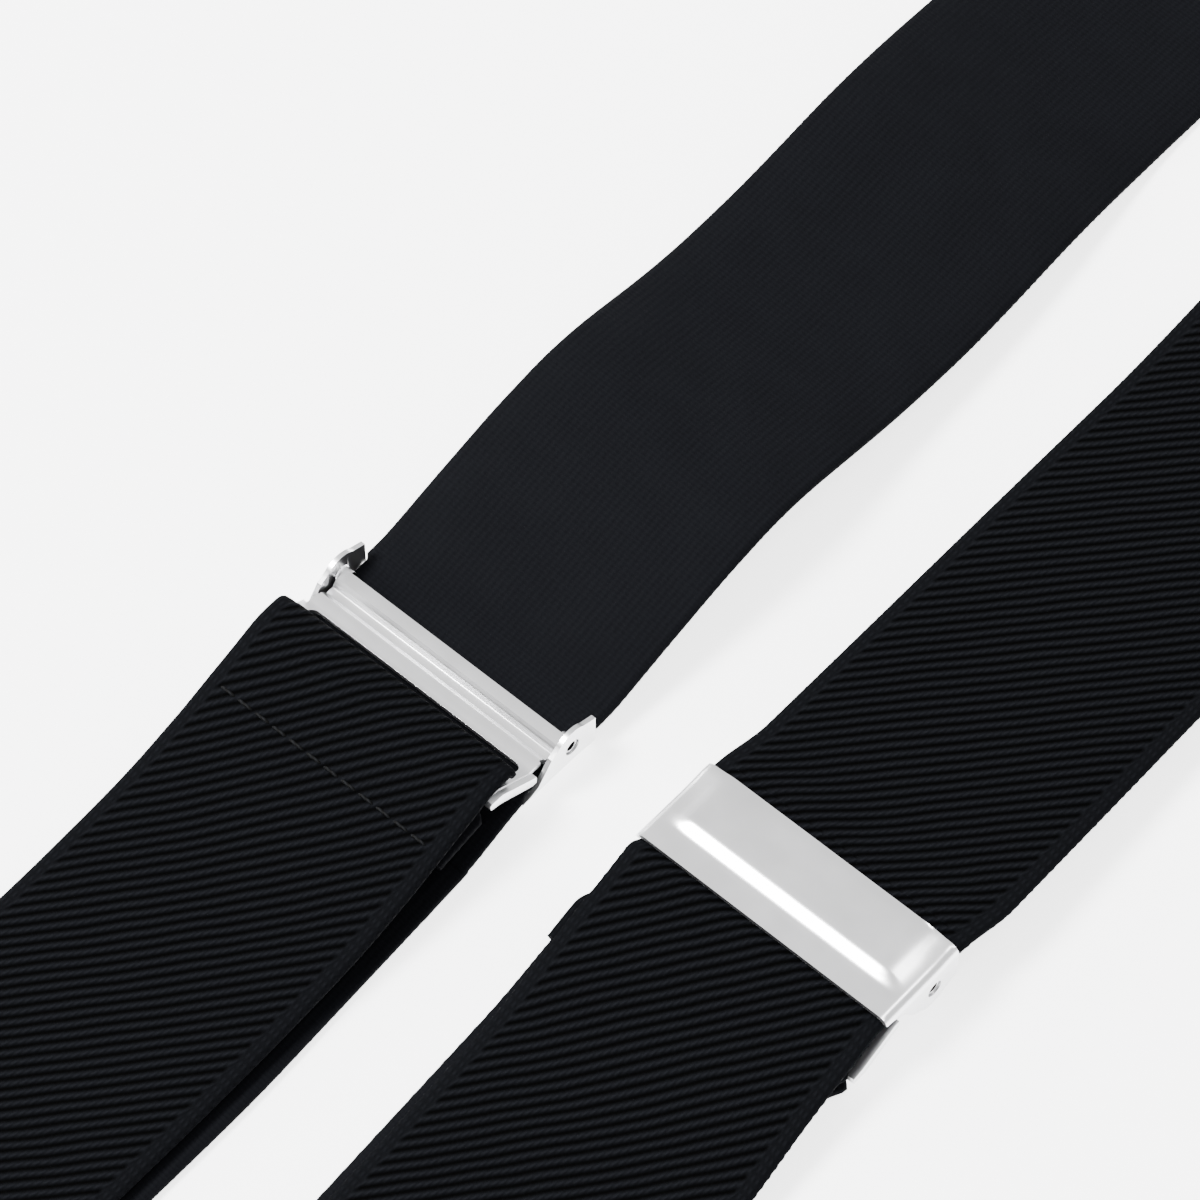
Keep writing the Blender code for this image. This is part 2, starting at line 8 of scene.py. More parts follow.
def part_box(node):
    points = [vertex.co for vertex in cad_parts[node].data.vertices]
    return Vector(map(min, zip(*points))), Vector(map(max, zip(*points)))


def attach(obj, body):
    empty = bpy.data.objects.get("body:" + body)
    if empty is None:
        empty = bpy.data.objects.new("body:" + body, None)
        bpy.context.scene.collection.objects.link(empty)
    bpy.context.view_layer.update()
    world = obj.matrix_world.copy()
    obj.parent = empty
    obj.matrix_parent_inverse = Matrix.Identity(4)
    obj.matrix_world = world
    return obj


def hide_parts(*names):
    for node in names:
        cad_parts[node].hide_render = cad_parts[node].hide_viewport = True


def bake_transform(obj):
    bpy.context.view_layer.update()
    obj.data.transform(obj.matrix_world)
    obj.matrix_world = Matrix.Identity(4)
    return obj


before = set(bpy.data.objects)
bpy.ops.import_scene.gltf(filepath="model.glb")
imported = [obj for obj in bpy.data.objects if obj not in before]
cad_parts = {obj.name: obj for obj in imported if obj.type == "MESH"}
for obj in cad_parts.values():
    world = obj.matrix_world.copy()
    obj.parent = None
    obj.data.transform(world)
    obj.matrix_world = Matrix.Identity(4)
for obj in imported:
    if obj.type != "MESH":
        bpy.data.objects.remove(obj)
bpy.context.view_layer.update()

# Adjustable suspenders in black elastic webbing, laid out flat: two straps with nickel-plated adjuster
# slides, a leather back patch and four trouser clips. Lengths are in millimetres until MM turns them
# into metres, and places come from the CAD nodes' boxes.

MM = 0.001

# Webbing: woven 36 mm wide and 1.4 mm thick
FLAT_WIDTH = 36.0
STRAP_HALF = 18.0
SLIDE_HALF = 17.4
LOOP_HALF = 17.5
FOLD_HALF = 15.3
PLY_HALF = 0.7
ON_SURFACE = 0.7
RIB_PITCH, RIB_ANGLE = 1.25, math.radians(50)
YARN_PITCH, CORD_PITCH, PICK_PITCH = 0.62, 0.9, 0.55
SELVEDGE_PITCH, SELVEDGE_YARN_PITCH = 1.3, 0.6
SELVEDGE_BUMP = 0.07
EDGE_STEPS = [(0.12, 0.36), (0.4, 0.52), (0.9, 0.59), (1.7, 0.62), (2.3, 0.7)]
INNER_STEPS = 7
SEEN_STEP, HIDDEN_STEP, BACK_STEP = 0.45, 0.8, 0.9

# How the straps lie
STRAP_X = 25.4
LEAN_ABOVE, LEAN_BELOW, LEAN_LENGTH = 0.024, 0.057, 75.0
RIGHT_STRAY_ABOVE, RIGHT_STRAY_BELOW = 1.1, 0.9
LEFT_STRAY_ABOVE, LEFT_STRAY_BELOW = 2.2, 1.2
CROSS_ANGLE = math.radians(20)
BEND_START = -380.0
BACK_LENGTH = 255.0
ROOT_END = -415.0
TWIST_START, TWIST_END = -400.0, -195.0
PATCH_FLAT, UNDER_DOWN, OVER_DOWN = 46.0, 62.0, 92.0
UNDER_STRAP_Z, OVER_STRAP_Z = 2.6, 4.3

# Adjuster slides, from the pivot
COVER_HALF = 18.2
COVER_REAR, COVER_FRONT = 3.9, -8.3
COVER_TOP, LIP_TOP = 4.2, 3.5
SHEET = 0.6
CLAMP_LINE = 1.6
FOLD_Y, FOLD_RADIUS, LOOP_BAR_Z = -12.1, 1.3, -3.4
HEM_SPLIT = -26.15
RIGHT_HEM_SHIFT, LEFT_HEM_SHIFT, LEFT_RUN_SHIFT = 1.5, 0.9, 1.0
APPROACH_END, LIFTING_END = 43.0, -77.0
COVER_FILLET, WALL_DROP = 1.2, 6.2
COVER_COLUMNS, FILLET_STEPS = 47, 8
BEND_REAR, BEND_FRONT = -3.3, -5.3
SHOULDER_INNER, SHOULDER_OUTER = 13.8, 17.0
HOLE_RADIUS = 1.1
FRAME_HALF = 17.3
WINDOW_WIDE, WINDOW_LONG, WINDOW_MIDDLE, WINDOW_ROUND = 32.6, 5.6, -9.0, 1.1
ARM_INNER, ARM_OUTER = 17.15, 18.1
STUB_INNER, STUB_OUTER, STUB_RADIUS = 16.3, 17.95, 0.95
BORE_RADIUS, BORE_DEPTH = 0.68, 16.6
PAST_ARMS = 19.0

# Trouser clips: the strap bar's place, from the slide's pivot, and then sizes from the bar
CLIP_REACH = 150.0
LOOP_END = 14.15
LOOP_RADIUS = 2.2
FACE_UP_BAR_Z, FACE_DOWN_BAR_Z = 3.0, 8.75
CLIP_PIECES = [("base", "plate", "nickel", 0.16), ("pin", "rivet", "nickel", 0.25),
               ("pad", "cushion", "nylon", 0.2), ("lever", "flap", "nickel", 0.2),
               ("cam", "jaw", "nylon", 0.2)]

# Back patch
PATCH_HALF_X, PATCH_HALF_Y, PATCH_THICK = 34.0, 42.0, 1.6
PATCH_CURVE = 1.35
OVER_RISE, UNDER_RISE, LEATHER_GAP = 3.65, 1.95, 1.65
TENT_START, TENT_END = 18.2, 24.0

# Sewing
STITCH_PITCH, PATCH_STITCH_PITCH, STITCH_GAP = 2.6, 2.9, 0.35
SEAM_PLACES = range(-16, 17, 4)
SEAM_SHARE = 0.905


def corner(node, end):
    return Vector(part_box(node)[end]) / MM


def middle(node):
    return (corner(node, 0) + corner(node, 1)) / 2


def pivot(side):
    """The slide's pivot: the cover runs 8.3 mm forward of it, and its face is 4.2 mm from it."""
    node = f"{side}_slide_cover"
    if side == "right":
        height = corner(node, 1).z - COVER_TOP
    else:
        height = corner(node, 0).z + COVER_TOP
    return Vector((middle(node).x, corner(node, 0).y - COVER_FRONT, height))


RIGHT, LEFT = pivot("right"), pivot("left")


# ---------------------------------------------------------------- camera, floor and light


def place_camera():
    azimuth, elevation, distance = math.radians(41.81), math.radians(56.1), 577.6
    target = Vector((-16.56, -550.03, 0))
    away = Vector((-math.sin(azimuth) * math.cos(elevation), math.cos(azimuth) * math.cos(elevation),
                   -math.sin(elevation)))
    data = bpy.data.cameras.new("Camera")
    data.lens, data.sensor_width = 149.0, 36.0
    data.clip_start, data.clip_end = 0.01, 50.0
    camera = bpy.data.objects.new("Camera", data)
    camera.location = (target - away * distance) * MM
    camera.rotation_euler = away.to_track_quat("-Z", "Y").to_euler()
    bpy.context.scene.collection.objects.link(camera)
    bpy.context.scene.camera = camera


def soft_light(name, direction, distance, size, energy):
    """A square softbox that faces the slides from a direction."""
    data = bpy.data.lights.new(name, "AREA")
    data.shape, data.size, data.energy = "SQUARE", size, energy
    light = bpy.data.objects.new(name, data)
    aim = Vector((0, -0.55, 0))
    toward = Vector(direction).normalized()
    light.location = aim + toward * distance
    light.rotation_euler = (-toward).to_track_quat("-Z", "Y").to_euler()
    bpy.context.scene.collection.objects.link(light)


def light_scene():
    world = bpy.data.worlds.new("Studio")
    world.use_nodes = True
    background = world.node_tree.nodes["Background"]
    background.inputs["Color"].default_value = (1.0, 1.0, 1.0, 1.0)
    background.inputs["Strength"].default_value = 1.25
    bpy.context.scene.world = world
    soft_light("Softbox above", direction=(-0.44, -0.38, 0.9), distance=1.5, size=0.5, energy=66.0)
    soft_light("Softbox behind", direction=(0.25, 0.42, 0.87), distance=1.5, size=0.22, energy=6.0)
    soft_light("Softbox left", direction=(-1.0, 0.1, 0.35), distance=1.8, size=0.8, energy=25.0)


# ---------------------------------------------------------------- materials


def linear(hex_colour):
    """An sRGB hex colour as linear RGBA."""
    channels = [int(hex_colour[k:k + 2], 16) / 255 for k in (1, 3, 5)]
    return (*[c / 12.92 if c <= 0.04045 else ((c + 0.055) / 1.055) ** 2.4 for c in channels], 1.0)


def add_node(tree, kind, inputs=None, output=0, feeds=None, **settings):
    """Adds a node with its settings, and with inputs that are values or other nodes' sockets.

    Returns one of its outputs, linked to the socket that it feeds.
    """
    node = tree.nodes.new("ShaderNode" + kind)
    for name, value in settings.items():
        setattr(node, name, value)
    for socket, value in (inputs or {}).items():
        if isinstance(value, bpy.types.NodeSocket):
            tree.links.new(value, node.inputs[socket])
        else:
            node.inputs[socket].default_value = value
    if feeds is not None:
        tree.links.new(node.outputs[output], feeds)
    return node.outputs[output]


def new_material(name, **sockets):
    """A Principled material with uniform values on its own sockets. Returns it, its tree and its shader."""
    material = bpy.data.materials.new(name)
    material.use_nodes = True
    tree = material.node_tree
    shader = tree.nodes["Principled BSDF"]
    for socket, value in sockets.items():
        shader.inputs[socket.replace("_", " ")].default_value = value
    return material, tree, shader


def webbing_places(tree):
    """The webbing's own map, and its distances across and along in metres."""
    uv = add_node(tree, "UVMap", uv_map="Webbing")
    across = add_node(tree, "SeparateXYZ", {"Vector": uv}, output="X")
    return uv, across, across.node.outputs["Y"]


def wave(tree, distance, pitch):
    """0 to 1 and back, once every pitch millimetres."""
    turns = 2 * math.pi / (pitch * MM)
    angle = add_node(tree, "Math", {0: distance, 1: turns}, operation="MULTIPLY")
    swing = add_node(tree, "Math", {0: angle}, operation="COSINE")
    return add_node(tree, "Math", {0: swing, 1: 0.5, 2: 0.5}, operation="MULTIPLY_ADD")


def twill_face():
    """Polyester and rubber elastic, twill woven: wide diagonal ribs and a plain woven selvedge.

    The eye gets soft matt ribs 1.25 mm apart with dark grooves, and a smooth narrow edge. The grooves'
    darkness is painted shade: the colour follows the rib height.
    """
    material, tree, shader = new_material(
        "Woven elastic, ribbed face", Roughness=0.85, Specular_IOR_Level=0.015
    )
    uv, across, along = webbing_places(tree)
    half = STRAP_HALF * MM
    from_centre = add_node(tree, "Math", {0: across, 1: half}, operation="SUBTRACT")
    off_centre = add_node(tree, "Math", {0: from_centre}, operation="ABSOLUTE")
    inside = add_node(tree, "Math", {0: half, 1: off_centre}, operation="SUBTRACT")
    wander = add_node(tree, "TexNoise", {"Vector": uv, "Scale": 90.0, "Detail": 2.0})
    forward = add_node(tree, "Math", {0: along, 1: math.cos(RIB_ANGLE)}, operation="MULTIPLY")
    diagonal = add_node(tree, "Math", {0: across, 1: -math.sin(RIB_ANGLE), 2: forward},
                        operation="MULTIPLY_ADD")
    wavering = add_node(tree, "Math", {0: wander, 1: 0.0005, 2: diagonal},
                        operation="MULTIPLY_ADD")
    rib = wave(tree, wavering, RIB_PITCH)
    yarn = wave(tree, across, YARN_PITCH)
    shallow = add_node(tree, "MapRange", {"Value": yarn, "To Min": 0.74, "To Max": 1.0})
    crossed = add_node(tree, "Math", {0: rib, 1: shallow}, operation="MULTIPLY")
    picks, ends = wave(tree, along, SELVEDGE_PITCH), wave(tree, across, SELVEDGE_YARN_PITCH)
    woven = add_node(tree, "Math", {0: picks, 1: ends}, operation="MULTIPLY")
    plain = add_node(tree, "MapRange", {"Value": woven, "To Min": 0.45, "To Max": 0.72})
    body = add_node(tree, "MapRange", {"Value": inside, "From Min": 0.0016, "From Max": 0.0021})
    even = add_node(tree, "Mix", {0: body, 2: plain, 3: crossed}, data_type="FLOAT")
    fibres = add_node(tree, "TexNoise", {"Vector": uv, "Scale": 2600.0, "Detail": 3.0})
    height = add_node(tree, "Math", {0: fibres, 1: 0.22, 2: even}, operation="MULTIPLY_ADD")
    # Painted shade: the base colour is darker in the rib and selvedge grooves and lighter on their tops,
    # from the same height as the bump, with random fibre noise.
    shade = add_node(tree, "MapRange", {"Value": height, "From Min": 0.12, "From Max": 1.15})
    add_node(tree, "Mix", {0: shade, 6: linear("#010101"), 7: linear("#101114")}, 2,
             shader.inputs["Base Color"], data_type="RGBA")
    add_node(tree, "Bump", {"Height": height, "Strength": 0.9, "Distance": 0.00035},
             feeds=shader.inputs["Normal"])
    return material


def plain_back():
    """The same elastic's back: fine lengthwise cords of rubber wrapped in yarn.

    The eye gets a smooth, slightly lighter surface with hair-fine lines. The lines are drawn 0.9 mm
    apart, coarser than woven, so that they show.
    """
    material, tree, shader = new_material(
        "Woven elastic, smooth back", Roughness=0.8, Specular_IOR_Level=0.03
    )
    uv, across, along = webbing_places(tree)
    cords, picks = wave(tree, across, CORD_PITCH), wave(tree, along, PICK_PITCH)
    fibres = add_node(tree, "TexNoise", {"Vector": uv, "Scale": 1800.0, "Detail": 4.0})
    corded = add_node(tree, "Math", {0: cords, 1: 0.45}, operation="MULTIPLY")
    woven = add_node(tree, "Math", {0: picks, 1: 0.5, 2: corded}, operation="MULTIPLY_ADD")
    height = add_node(tree, "Math", {0: fibres, 1: 1.3, 2: woven}, operation="MULTIPLY_ADD")
    # Partly painted shade: the colour is lighter on the raised cords and picks and darker between them, from
    # the bump's height; the noise patches are random tone.
    patches = add_node(tree, "TexNoise", {"Vector": uv, "Scale": 140.0, "Detail": 3.0})
    painted_cord_shade = add_node(tree, "Math", {0: height, 1: 0.35}, operation="MULTIPLY")
    shade = add_node(tree, "Math", {0: patches, 1: 0.4, 2: painted_cord_shade}, operation="MULTIPLY_ADD")
    add_node(tree, "Mix", {0: shade, 6: linear("#040406"), 7: linear("#0c0d10")}, 2,
             shader.inputs["Base Color"], data_type="RGBA")
    add_node(tree, "Bump", {"Height": height, "Strength": 0.6, "Distance": 0.0001},
             feeds=shader.inputs["Normal"])
    return material


def nickel_plate():
    """Pressed steel, bright nickel plated and tumbled.

    The eye gets a light, neutral mirror softened by fine tumbling marks, which is a little
    duller in patches.
    """
    material, tree, shader = new_material("Nickel-plated steel", Metallic=1.0)
    place = add_node(tree, "TexCoord", output="Object")
    tumbling = add_node(tree, "TexNoise", {"Vector": place, "Scale": 900.0, "Detail": 3.0})
    wear = add_node(tree, "TexNoise", {"Vector": place, "Scale": 160.0, "Detail": 4.0})
    add_node(tree, "Mix", {0: wear, 6: linear("#dededf"), 7: linear("#ebebed")}, 2,
             shader.inputs["Base Color"], data_type="RGBA")
    add_node(tree, "MapRange", {"Value": wear, "To Min": 0.26, "To Max": 0.36},
             feeds=shader.inputs["Roughness"])
    add_node(tree, "Bump", {"Height": tumbling, "Strength": 0.12, "Distance": 0.00005},
             feeds=shader.inputs["Normal"])
    return material


def shaded_bore_steel():
    """Steel inside the pierced pivot stubs, dark and dull: painted shade, so that the holes read as dark."""
    material, tree, shader = new_material("Dark steel, painted bore shade", Metallic=1.0, Roughness=0.6)
    place = add_node(tree, "TexCoord", output="Object")
    # Painted shade: a dark grey steel colour inside the bores, varied by noise.
    scale = add_node(tree, "TexNoise", {"Vector": place, "Scale": 1500.0, "Detail": 2.0})
    add_node(tree, "Mix", {0: scale, 6: linear("#141416"), 7: linear("#2a2a2c")}, 2,
             shader.inputs["Base Color"], data_type="RGBA")
    return material


def grained_leather():
    """Full-grain cowhide, dyed black and waxed: pebbles about 0.9 mm across with fine creases between."""
    material, tree, shader = new_material("Black full-grain leather", Specular_IOR_Level=0.14)
    place = add_node(tree, "TexCoord", output="Object")
    pebble = add_node(tree, "TexVoronoi", {"Vector": place, "Scale": 1100.0, "Randomness": 0.9},
                      output="Distance", feature="DISTANCE_TO_EDGE")
    crease = add_node(tree, "MapRange", {"Value": pebble, "From Max": 0.28})
    pores = add_node(tree, "TexNoise", {"Vector": place, "Scale": 2400.0, "Detail": 4.0})
    height = add_node(tree, "Math", {0: pores, 1: 0.35, 2: crease}, operation="MULTIPLY_ADD")
    wear = add_node(tree, "TexNoise", {"Vector": place, "Scale": 70.0, "Detail": 4.0})
    add_node(tree, "Mix", {0: wear, 6: linear("#080707"), 7: linear("#131110")}, 2,
             shader.inputs["Base Color"], data_type="RGBA")
    add_node(tree, "MapRange", {"Value": crease, "To Min": 0.6, "To Max": 0.42},
             feeds=shader.inputs["Roughness"])
    add_node(tree, "Bump", {"Height": height, "Strength": 0.8, "Distance": 0.00022},
             feeds=shader.inputs["Normal"])
    return material


def moulded_nylon():
    """Black nylon, injection moulded in a spark-eroded mould: an even, fine satin grain."""
    material, tree, shader = new_material("Moulded black nylon", Specular_IOR_Level=0.15, IOR=1.53)
    place = add_node(tree, "TexCoord", output="Object")
    grain = add_node(tree, "TexNoise", {"Vector": place, "Scale": 3200.0, "Detail": 2.0})
    add_node(tree, "Mix", {0: grain, 6: linear("#0a0a0b"), 7: linear("#131415")}, 2,
             shader.inputs["Base Color"], data_type="RGBA")
    add_node(tree, "MapRange", {"Value": grain, "To Min": 0.4, "To Max": 0.55},
             feeds=shader.inputs["Roughness"])
    add_node(tree, "Bump", {"Height": grain, "Strength": 0.3, "Distance": 0.00004},
             feeds=shader.inputs["Normal"])
    return material


def sewing_thread():
    """Bonded polyester thread, 0.4 mm, twisted from three plies: a soft shine with a fine slant twist."""
    material, tree, shader = new_material("Bonded polyester thread", Roughness=0.7, Specular_IOR_Level=0.08)
    place = add_node(tree, "TexCoord", output="Object")
    plies = add_node(tree, "TexWave", {"Vector": place, "Scale": 700.0, "Distortion": 1.0},
                     output="Fac", bands_direction="DIAGONAL")
    # Painted shade: the colour is darker in the grooves of the twist and lighter on the plies, from the same
    # bands as the bump.
    add_node(tree, "Mix", {0: plies, 6: linear("#020202"), 7: linear("#0c0d0f")}, 2,
             shader.inputs["Base Color"], data_type="RGBA")
    add_node(tree, "Bump", {"Height": plies, "Strength": 0.5, "Distance": 0.00005},
             feeds=shader.inputs["Normal"])
    return material


def studio_floor():
    """Matt white painted board: pale and even, with a faint roller texture and a soft glow of its own."""
    material, tree, shader = new_material(
        "Matt white board", Roughness=0.9, Specular_IOR_Level=0.2, Emission_Strength=3.0
    )
    shader.inputs["Emission Color"].default_value = (1.0, 1.0, 1.0, 1.0)
    place = add_node(tree, "TexCoord", output="Object")
    roller = add_node(tree, "TexNoise", {"Vector": place, "Scale": 400.0, "Detail": 2.0})
    add_node(tree, "Mix", {0: roller, 6: linear("#f4f4f5"), 7: linear("#f8f8f9")}, 2,
             shader.inputs["Base Color"], data_type="RGBA")
    return material


# ---------------------------------------------------------------- lines that the webbing follows


def flow(points, step):
    """A smooth line through (y, z) points (Catmull-Rom), sampled about every step."""
    points = [Vector(p) for p in points]
    ends = [2 * points[0] - points[1], *points, 2 * points[-1] - points[-2]]
    line = []
    for before, a, b, after in zip(ends, ends[1:], ends[2:], ends[3:]):
        count = max(1, round((b - a).length / step))
        for k in range(count):
            t = k / count
            line.append(
                0.5 * (2 * a + (b - before) * t + (2 * before - 5 * a + 4 * b - after) * t**2
                       + (3 * a - before - 3 * b + after) * t**3)
            )
    return [*line, points[-1]]


def cut_line(line, at):
    """A (y, z) line in two, which share the point where it passes y = at."""
    for k, (a, b) in enumerate(zip(line, line[1:])):
        if min(a[0], b[0]) <= at <= max(a[0], b[0]):
            point = a.lerp(b, (at - a[0]) / (b[0] - a[0]))
            return [*line[: k + 1], point], [point, *line[k + 1:]]
    raise ValueError(f"the line doesn't pass {at}")


def arc(centre, radius, start, end, count):
    """An arc about a (y, z) centre, from start to end degrees."""
    turn = [math.radians(start + (end - start) * k / count) for k in range(count + 1)]
    return [Vector((centre[0] + radius * math.cos(a), centre[1] + radius * math.sin(a))) for a in turn]


def ease(value, low, high):
    t = min(1.0, max(0.0, (value - low) / (high - low)))
    return t * t * (3 - 2 * t)


def lean(ahead):
    """How far the strap stands to +X of a line along Y, ahead millimetres above the slide's pivot."""
    if ahead > 0:
        return -LEAN_ABOVE * ahead
    return LEAN_BELOW * min(-ahead, LEAN_LENGTH)


def stray(slide, ahead):
    """How far the strap strays to +X of that line, as it lies."""
    before_clip = 1 - ease(-ahead, 110, 135)
    if slide is RIGHT:
        above = RIGHT_STRAY_ABOVE * ease(ahead, 3.5, 13) * (1 - ease(ahead, 75, 115))
        below = RIGHT_STRAY_BELOW * ease(-ahead, 6.0, 9.6) * (1 - 0.7 * ease(-ahead, 16, 34))
        return above - below * before_clip
    above = LEFT_STRAY_ABOVE * ease(ahead, 69, 119) * (1 - ease(ahead, 129, 154))
    return -above - LEFT_STRAY_BELOW * ease(-ahead, 50, 85) * before_clip


def run_half(y, slide_y):
    """Half the width: squeezed in the slide, a little narrower in the clip's loop, full elsewhere."""
    near = ease(y - slide_y, 3.95, 4.7) if y > slide_y else ease(slide_y - y, 6.8, 9.0)
    low = ease(y - slide_y + CLIP_REACH, 14.0, 38.0)
    return min(SLIDE_HALF + (STRAP_HALF - SLIDE_HALF) * near, LOOP_HALF + (STRAP_HALF - LOOP_HALF) * low)


def stations(line, pivot_at, half=run_half, shift=None, roll=None):
    """(centre, half-width vector) along a (y, z) line near a slide."""
    found = []
    for y, z in line:
        width = half(y, pivot_at.y)
        turn = roll(y) if roll else 0.0
        ahead = y - pivot_at.y
        x = pivot_at.x + lean(ahead) + stray(pivot_at, ahead) - (shift(y) if shift else 0.0)
        found.append((Vector((x, y, z)), Vector((math.cos(turn), 0, -math.sin(turn))) * width))
    return found


# ---------------------------------------------------------------- webbing


def made_piece(name, bm, *materials):
    """A mesh drawn in millimetres, as a piece in metres."""
    bmesh.ops.scale(bm, verts=bm.verts, vec=(MM, MM, MM))
    mesh = bpy.data.meshes.new(name)
    bm.to_mesh(mesh)
    bm.free()
    for material in materials:
        mesh.materials.append(material)
    piece = bpy.data.objects.new(name, mesh)
    bpy.context.scene.collection.objects.link(piece)
    return piece


def cross_section(half):
    """(across, height) of one face, from edge to edge, with a thinner selvedge and round edges."""
    side = [(depth - half, rise) for depth, rise in EDGE_STEPS]
    first = side[-1][0]
    flat = [(first - 2 * first * k / INNER_STEPS, PLY_HALF) for k in range(1, INNER_STEPS)]
    return [*side, *flat, *[(-across, rise) for across, rise in reversed(side)]]


def webbing(name, places, ribbed, start):
    """A closed strip along (centre, half vector) places, and how far along the strap it ends.

    ribbed is 1 if the ribbed face is on the side of half x travel, or -1. Its map runs across and along in
    metres, from start.
    """
    bm = bmesh.new()
    rings, maps = [], {}
    along = start
    for k, (centre, half) in enumerate(places):
        if k:
            along += (centre - places[k - 1][0]).length
        ahead = places[min(k + 1, len(places) - 1)][0] - places[max(k - 1, 0)][0]
        across = half.normalized()
        outward = across.cross(ahead).normalized() * ribbed
        wide = half.length
        bulge = SELVEDGE_BUMP * math.cos(2 * math.pi * along / SELVEDGE_PITCH)
        section = cross_section(wide)
        ring = []
        edge = wide + bulge
        points = [(-edge, 0.0), *section, (edge, 0.0), *[(a, -h) for a, h in reversed(section)]]
        for a, h in points:
            vert = bm.verts.new(centre + across * a + outward * h)
            maps[vert] = ((1 + ribbed * max(-1, min(1, a / wide))) / 2 * FLAT_WIDTH * MM, along * MM)
            ring.append(vert)
        rings.append(ring)
    count, face_count = len(rings[0]), len(cross_section(STRAP_HALF)) + 1
    for a, b in zip(rings, rings[1:]):
        for k in range(count):
            face = bm.faces.new((a[k], a[(k + 1) % count], b[(k + 1) % count], b[k]))
            face.smooth = True
            face.material_index = 0 if k < face_count else 1
    for ring in (rings[0], rings[-1]):
        cap = bm.faces.new(ring)
        for edge in cap.edges:
            edge.smooth = False
    bmesh.ops.recalc_face_normals(bm, faces=bm.faces)
    layer = bm.loops.layers.uv.new("Webbing")
    for face in bm.faces:
        for loop in face.loops:
            loop[layer].uv = maps[loop.vert]
    return made_piece(name, bm, FINISH["twill"], FINISH["back"]), along


def lay_webbing(name, places, ribbed, start, body, node):
    """A stretch of strap in place of its CAD node. body is one body to ride on; a (from, to, start y, end y)
    body is not used, and the stretch then rides on no body.
    """
    piece, end = webbing(name, places, ribbed, start)
    if isinstance(body, str):
        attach(piece, body)
    else:
        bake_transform(piece)
    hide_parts(node)
    return end


def right_strap():
    """Face up: the main layer is on top, and the return layer lies on the surface."""
    y, z = RIGHT.y, RIGHT.z
    clip_y = y - CLIP_REACH
    main = z + CLAMP_LINE
    on_top = 2.4
    rise = flow([(y + 5.55, main), (y + 9, main), (y + 30, 5.8), (y + 60, 4.2), (y + 100, 1.8),
                 (y + 130, ON_SURFACE), (ROOT_END, ON_SURFACE)], SEEN_STEP)
    approach, sliding = cut_line(rise, y + APPROACH_END)
    at = lay_webbing("right_webbing_above", stations(sliding[::-1], RIGHT), -1, FLAT_WIDTH,
                     ("straps", "right_slide", ROOT_END, y + APPROACH_END), "right_sliding_run")
    at = lay_webbing("right_webbing_at_slide", stations(approach[::-1], RIGHT), -1, at,
                     ("right_slide_lever", "right_slide", y - 9.4, y + 25),
                     "right_approach_run")
    clamped = flow([(y + 5.55, main), (y - 5.15, main)], SEEN_STEP)
    at = lay_webbing("right_webbing_clamped", stations(clamped, RIGHT), -1, at,
                     ("right_slide", "right_slide_lever", y + 1.5, y + 8.34),
                     "right_clamped_run")
    front = flow([(y - 5.15, main), (y - 8.6, main), (y - 15, 5.6), (y - 24, 4.4), (y - 44, on_top),
                  (clip_y + 50, on_top), (clip_y + 30, 3.0), (clip_y + LOOP_END, 4.6)], SEEN_STEP)
    at = lay_webbing("right_webbing_below", stations(front, RIGHT), -1, at,
                     ("right_slide", "right_loop", y - 5.15, clip_y + LOOP_END),
                     "right_front_run")
    bar_z = FACE_UP_BAR_Z
    upper = flow([(clip_y + LOOP_END, 4.6), (clip_y + 6, 5.1), (clip_y, bar_z + LOOP_RADIUS)], HIDDEN_STEP)
    lower = flow([(clip_y, bar_z - LOOP_RADIUS), (clip_y + 6, 0.85), (clip_y + LOOP_END, 0.9)], HIDDEN_STEP)
    around = arc((clip_y, bar_z), LOOP_RADIUS, 104, 256, 16)
    at = lay_webbing("right_webbing_clip_loop", stations([*upper, *around, *lower], RIGHT), -1, at,
                     "right_loop", "right_clip_loop")

    def shift(here):
        at_fold = 1 - ease(here, y - 17, y - 13)
        return RIGHT_HEM_SHIFT * ease(here, clip_y + LOOP_END, clip_y + 60) * at_fold

    back = flow([(clip_y + LOOP_END, 0.9), (clip_y + 26, 0.75), (clip_y + 40, ON_SURFACE),
                 (y + HEM_SPLIT, ON_SURFACE)], HIDDEN_STEP)
    at = lay_webbing("right_webbing_return", stations(back, RIGHT, shift=shift), -1, at,
                     ("right_slide", "right_loop", y + HEM_SPLIT, clip_y + LOOP_END),
                     "right_return_run")
    bar = (y + FOLD_Y, z + LOOP_BAR_Z)
    inner = flow([(bar[0], bar[1] + FOLD_RADIUS), (y - 17, 3.0), (y - 22, 2.5)], step=0.6)
    outer = flow([(y + HEM_SPLIT, ON_SURFACE), (y - 18, 0.75), (bar[0], bar[1] - FOLD_RADIUS)], step=0.6)
    sewn = [*outer, *arc(bar, FOLD_RADIUS, -75, 75, 14), *inner]
    lay_webbing("right_webbing_hem", stations(sewn, RIGHT, hem_half, shift), -1, at, "right_slide",
                "right_return_hem")


def hem_half(y, slide_y):
    """Gathered only where the strap goes through the frame's window, and full width beside it."""
    return STRAP_HALF - (STRAP_HALF - FOLD_HALF) * ease(y, slide_y - 14.2, slide_y - 11.4)


def left_roll(y):
    """The strap lies with its outer edge a little higher, some way above the slide."""
    return math.radians(4.3) * ease(y, LEFT.y + 50, LEFT.y + 93) * (1 - ease(y, LEFT.y + 105, ROOT_END))


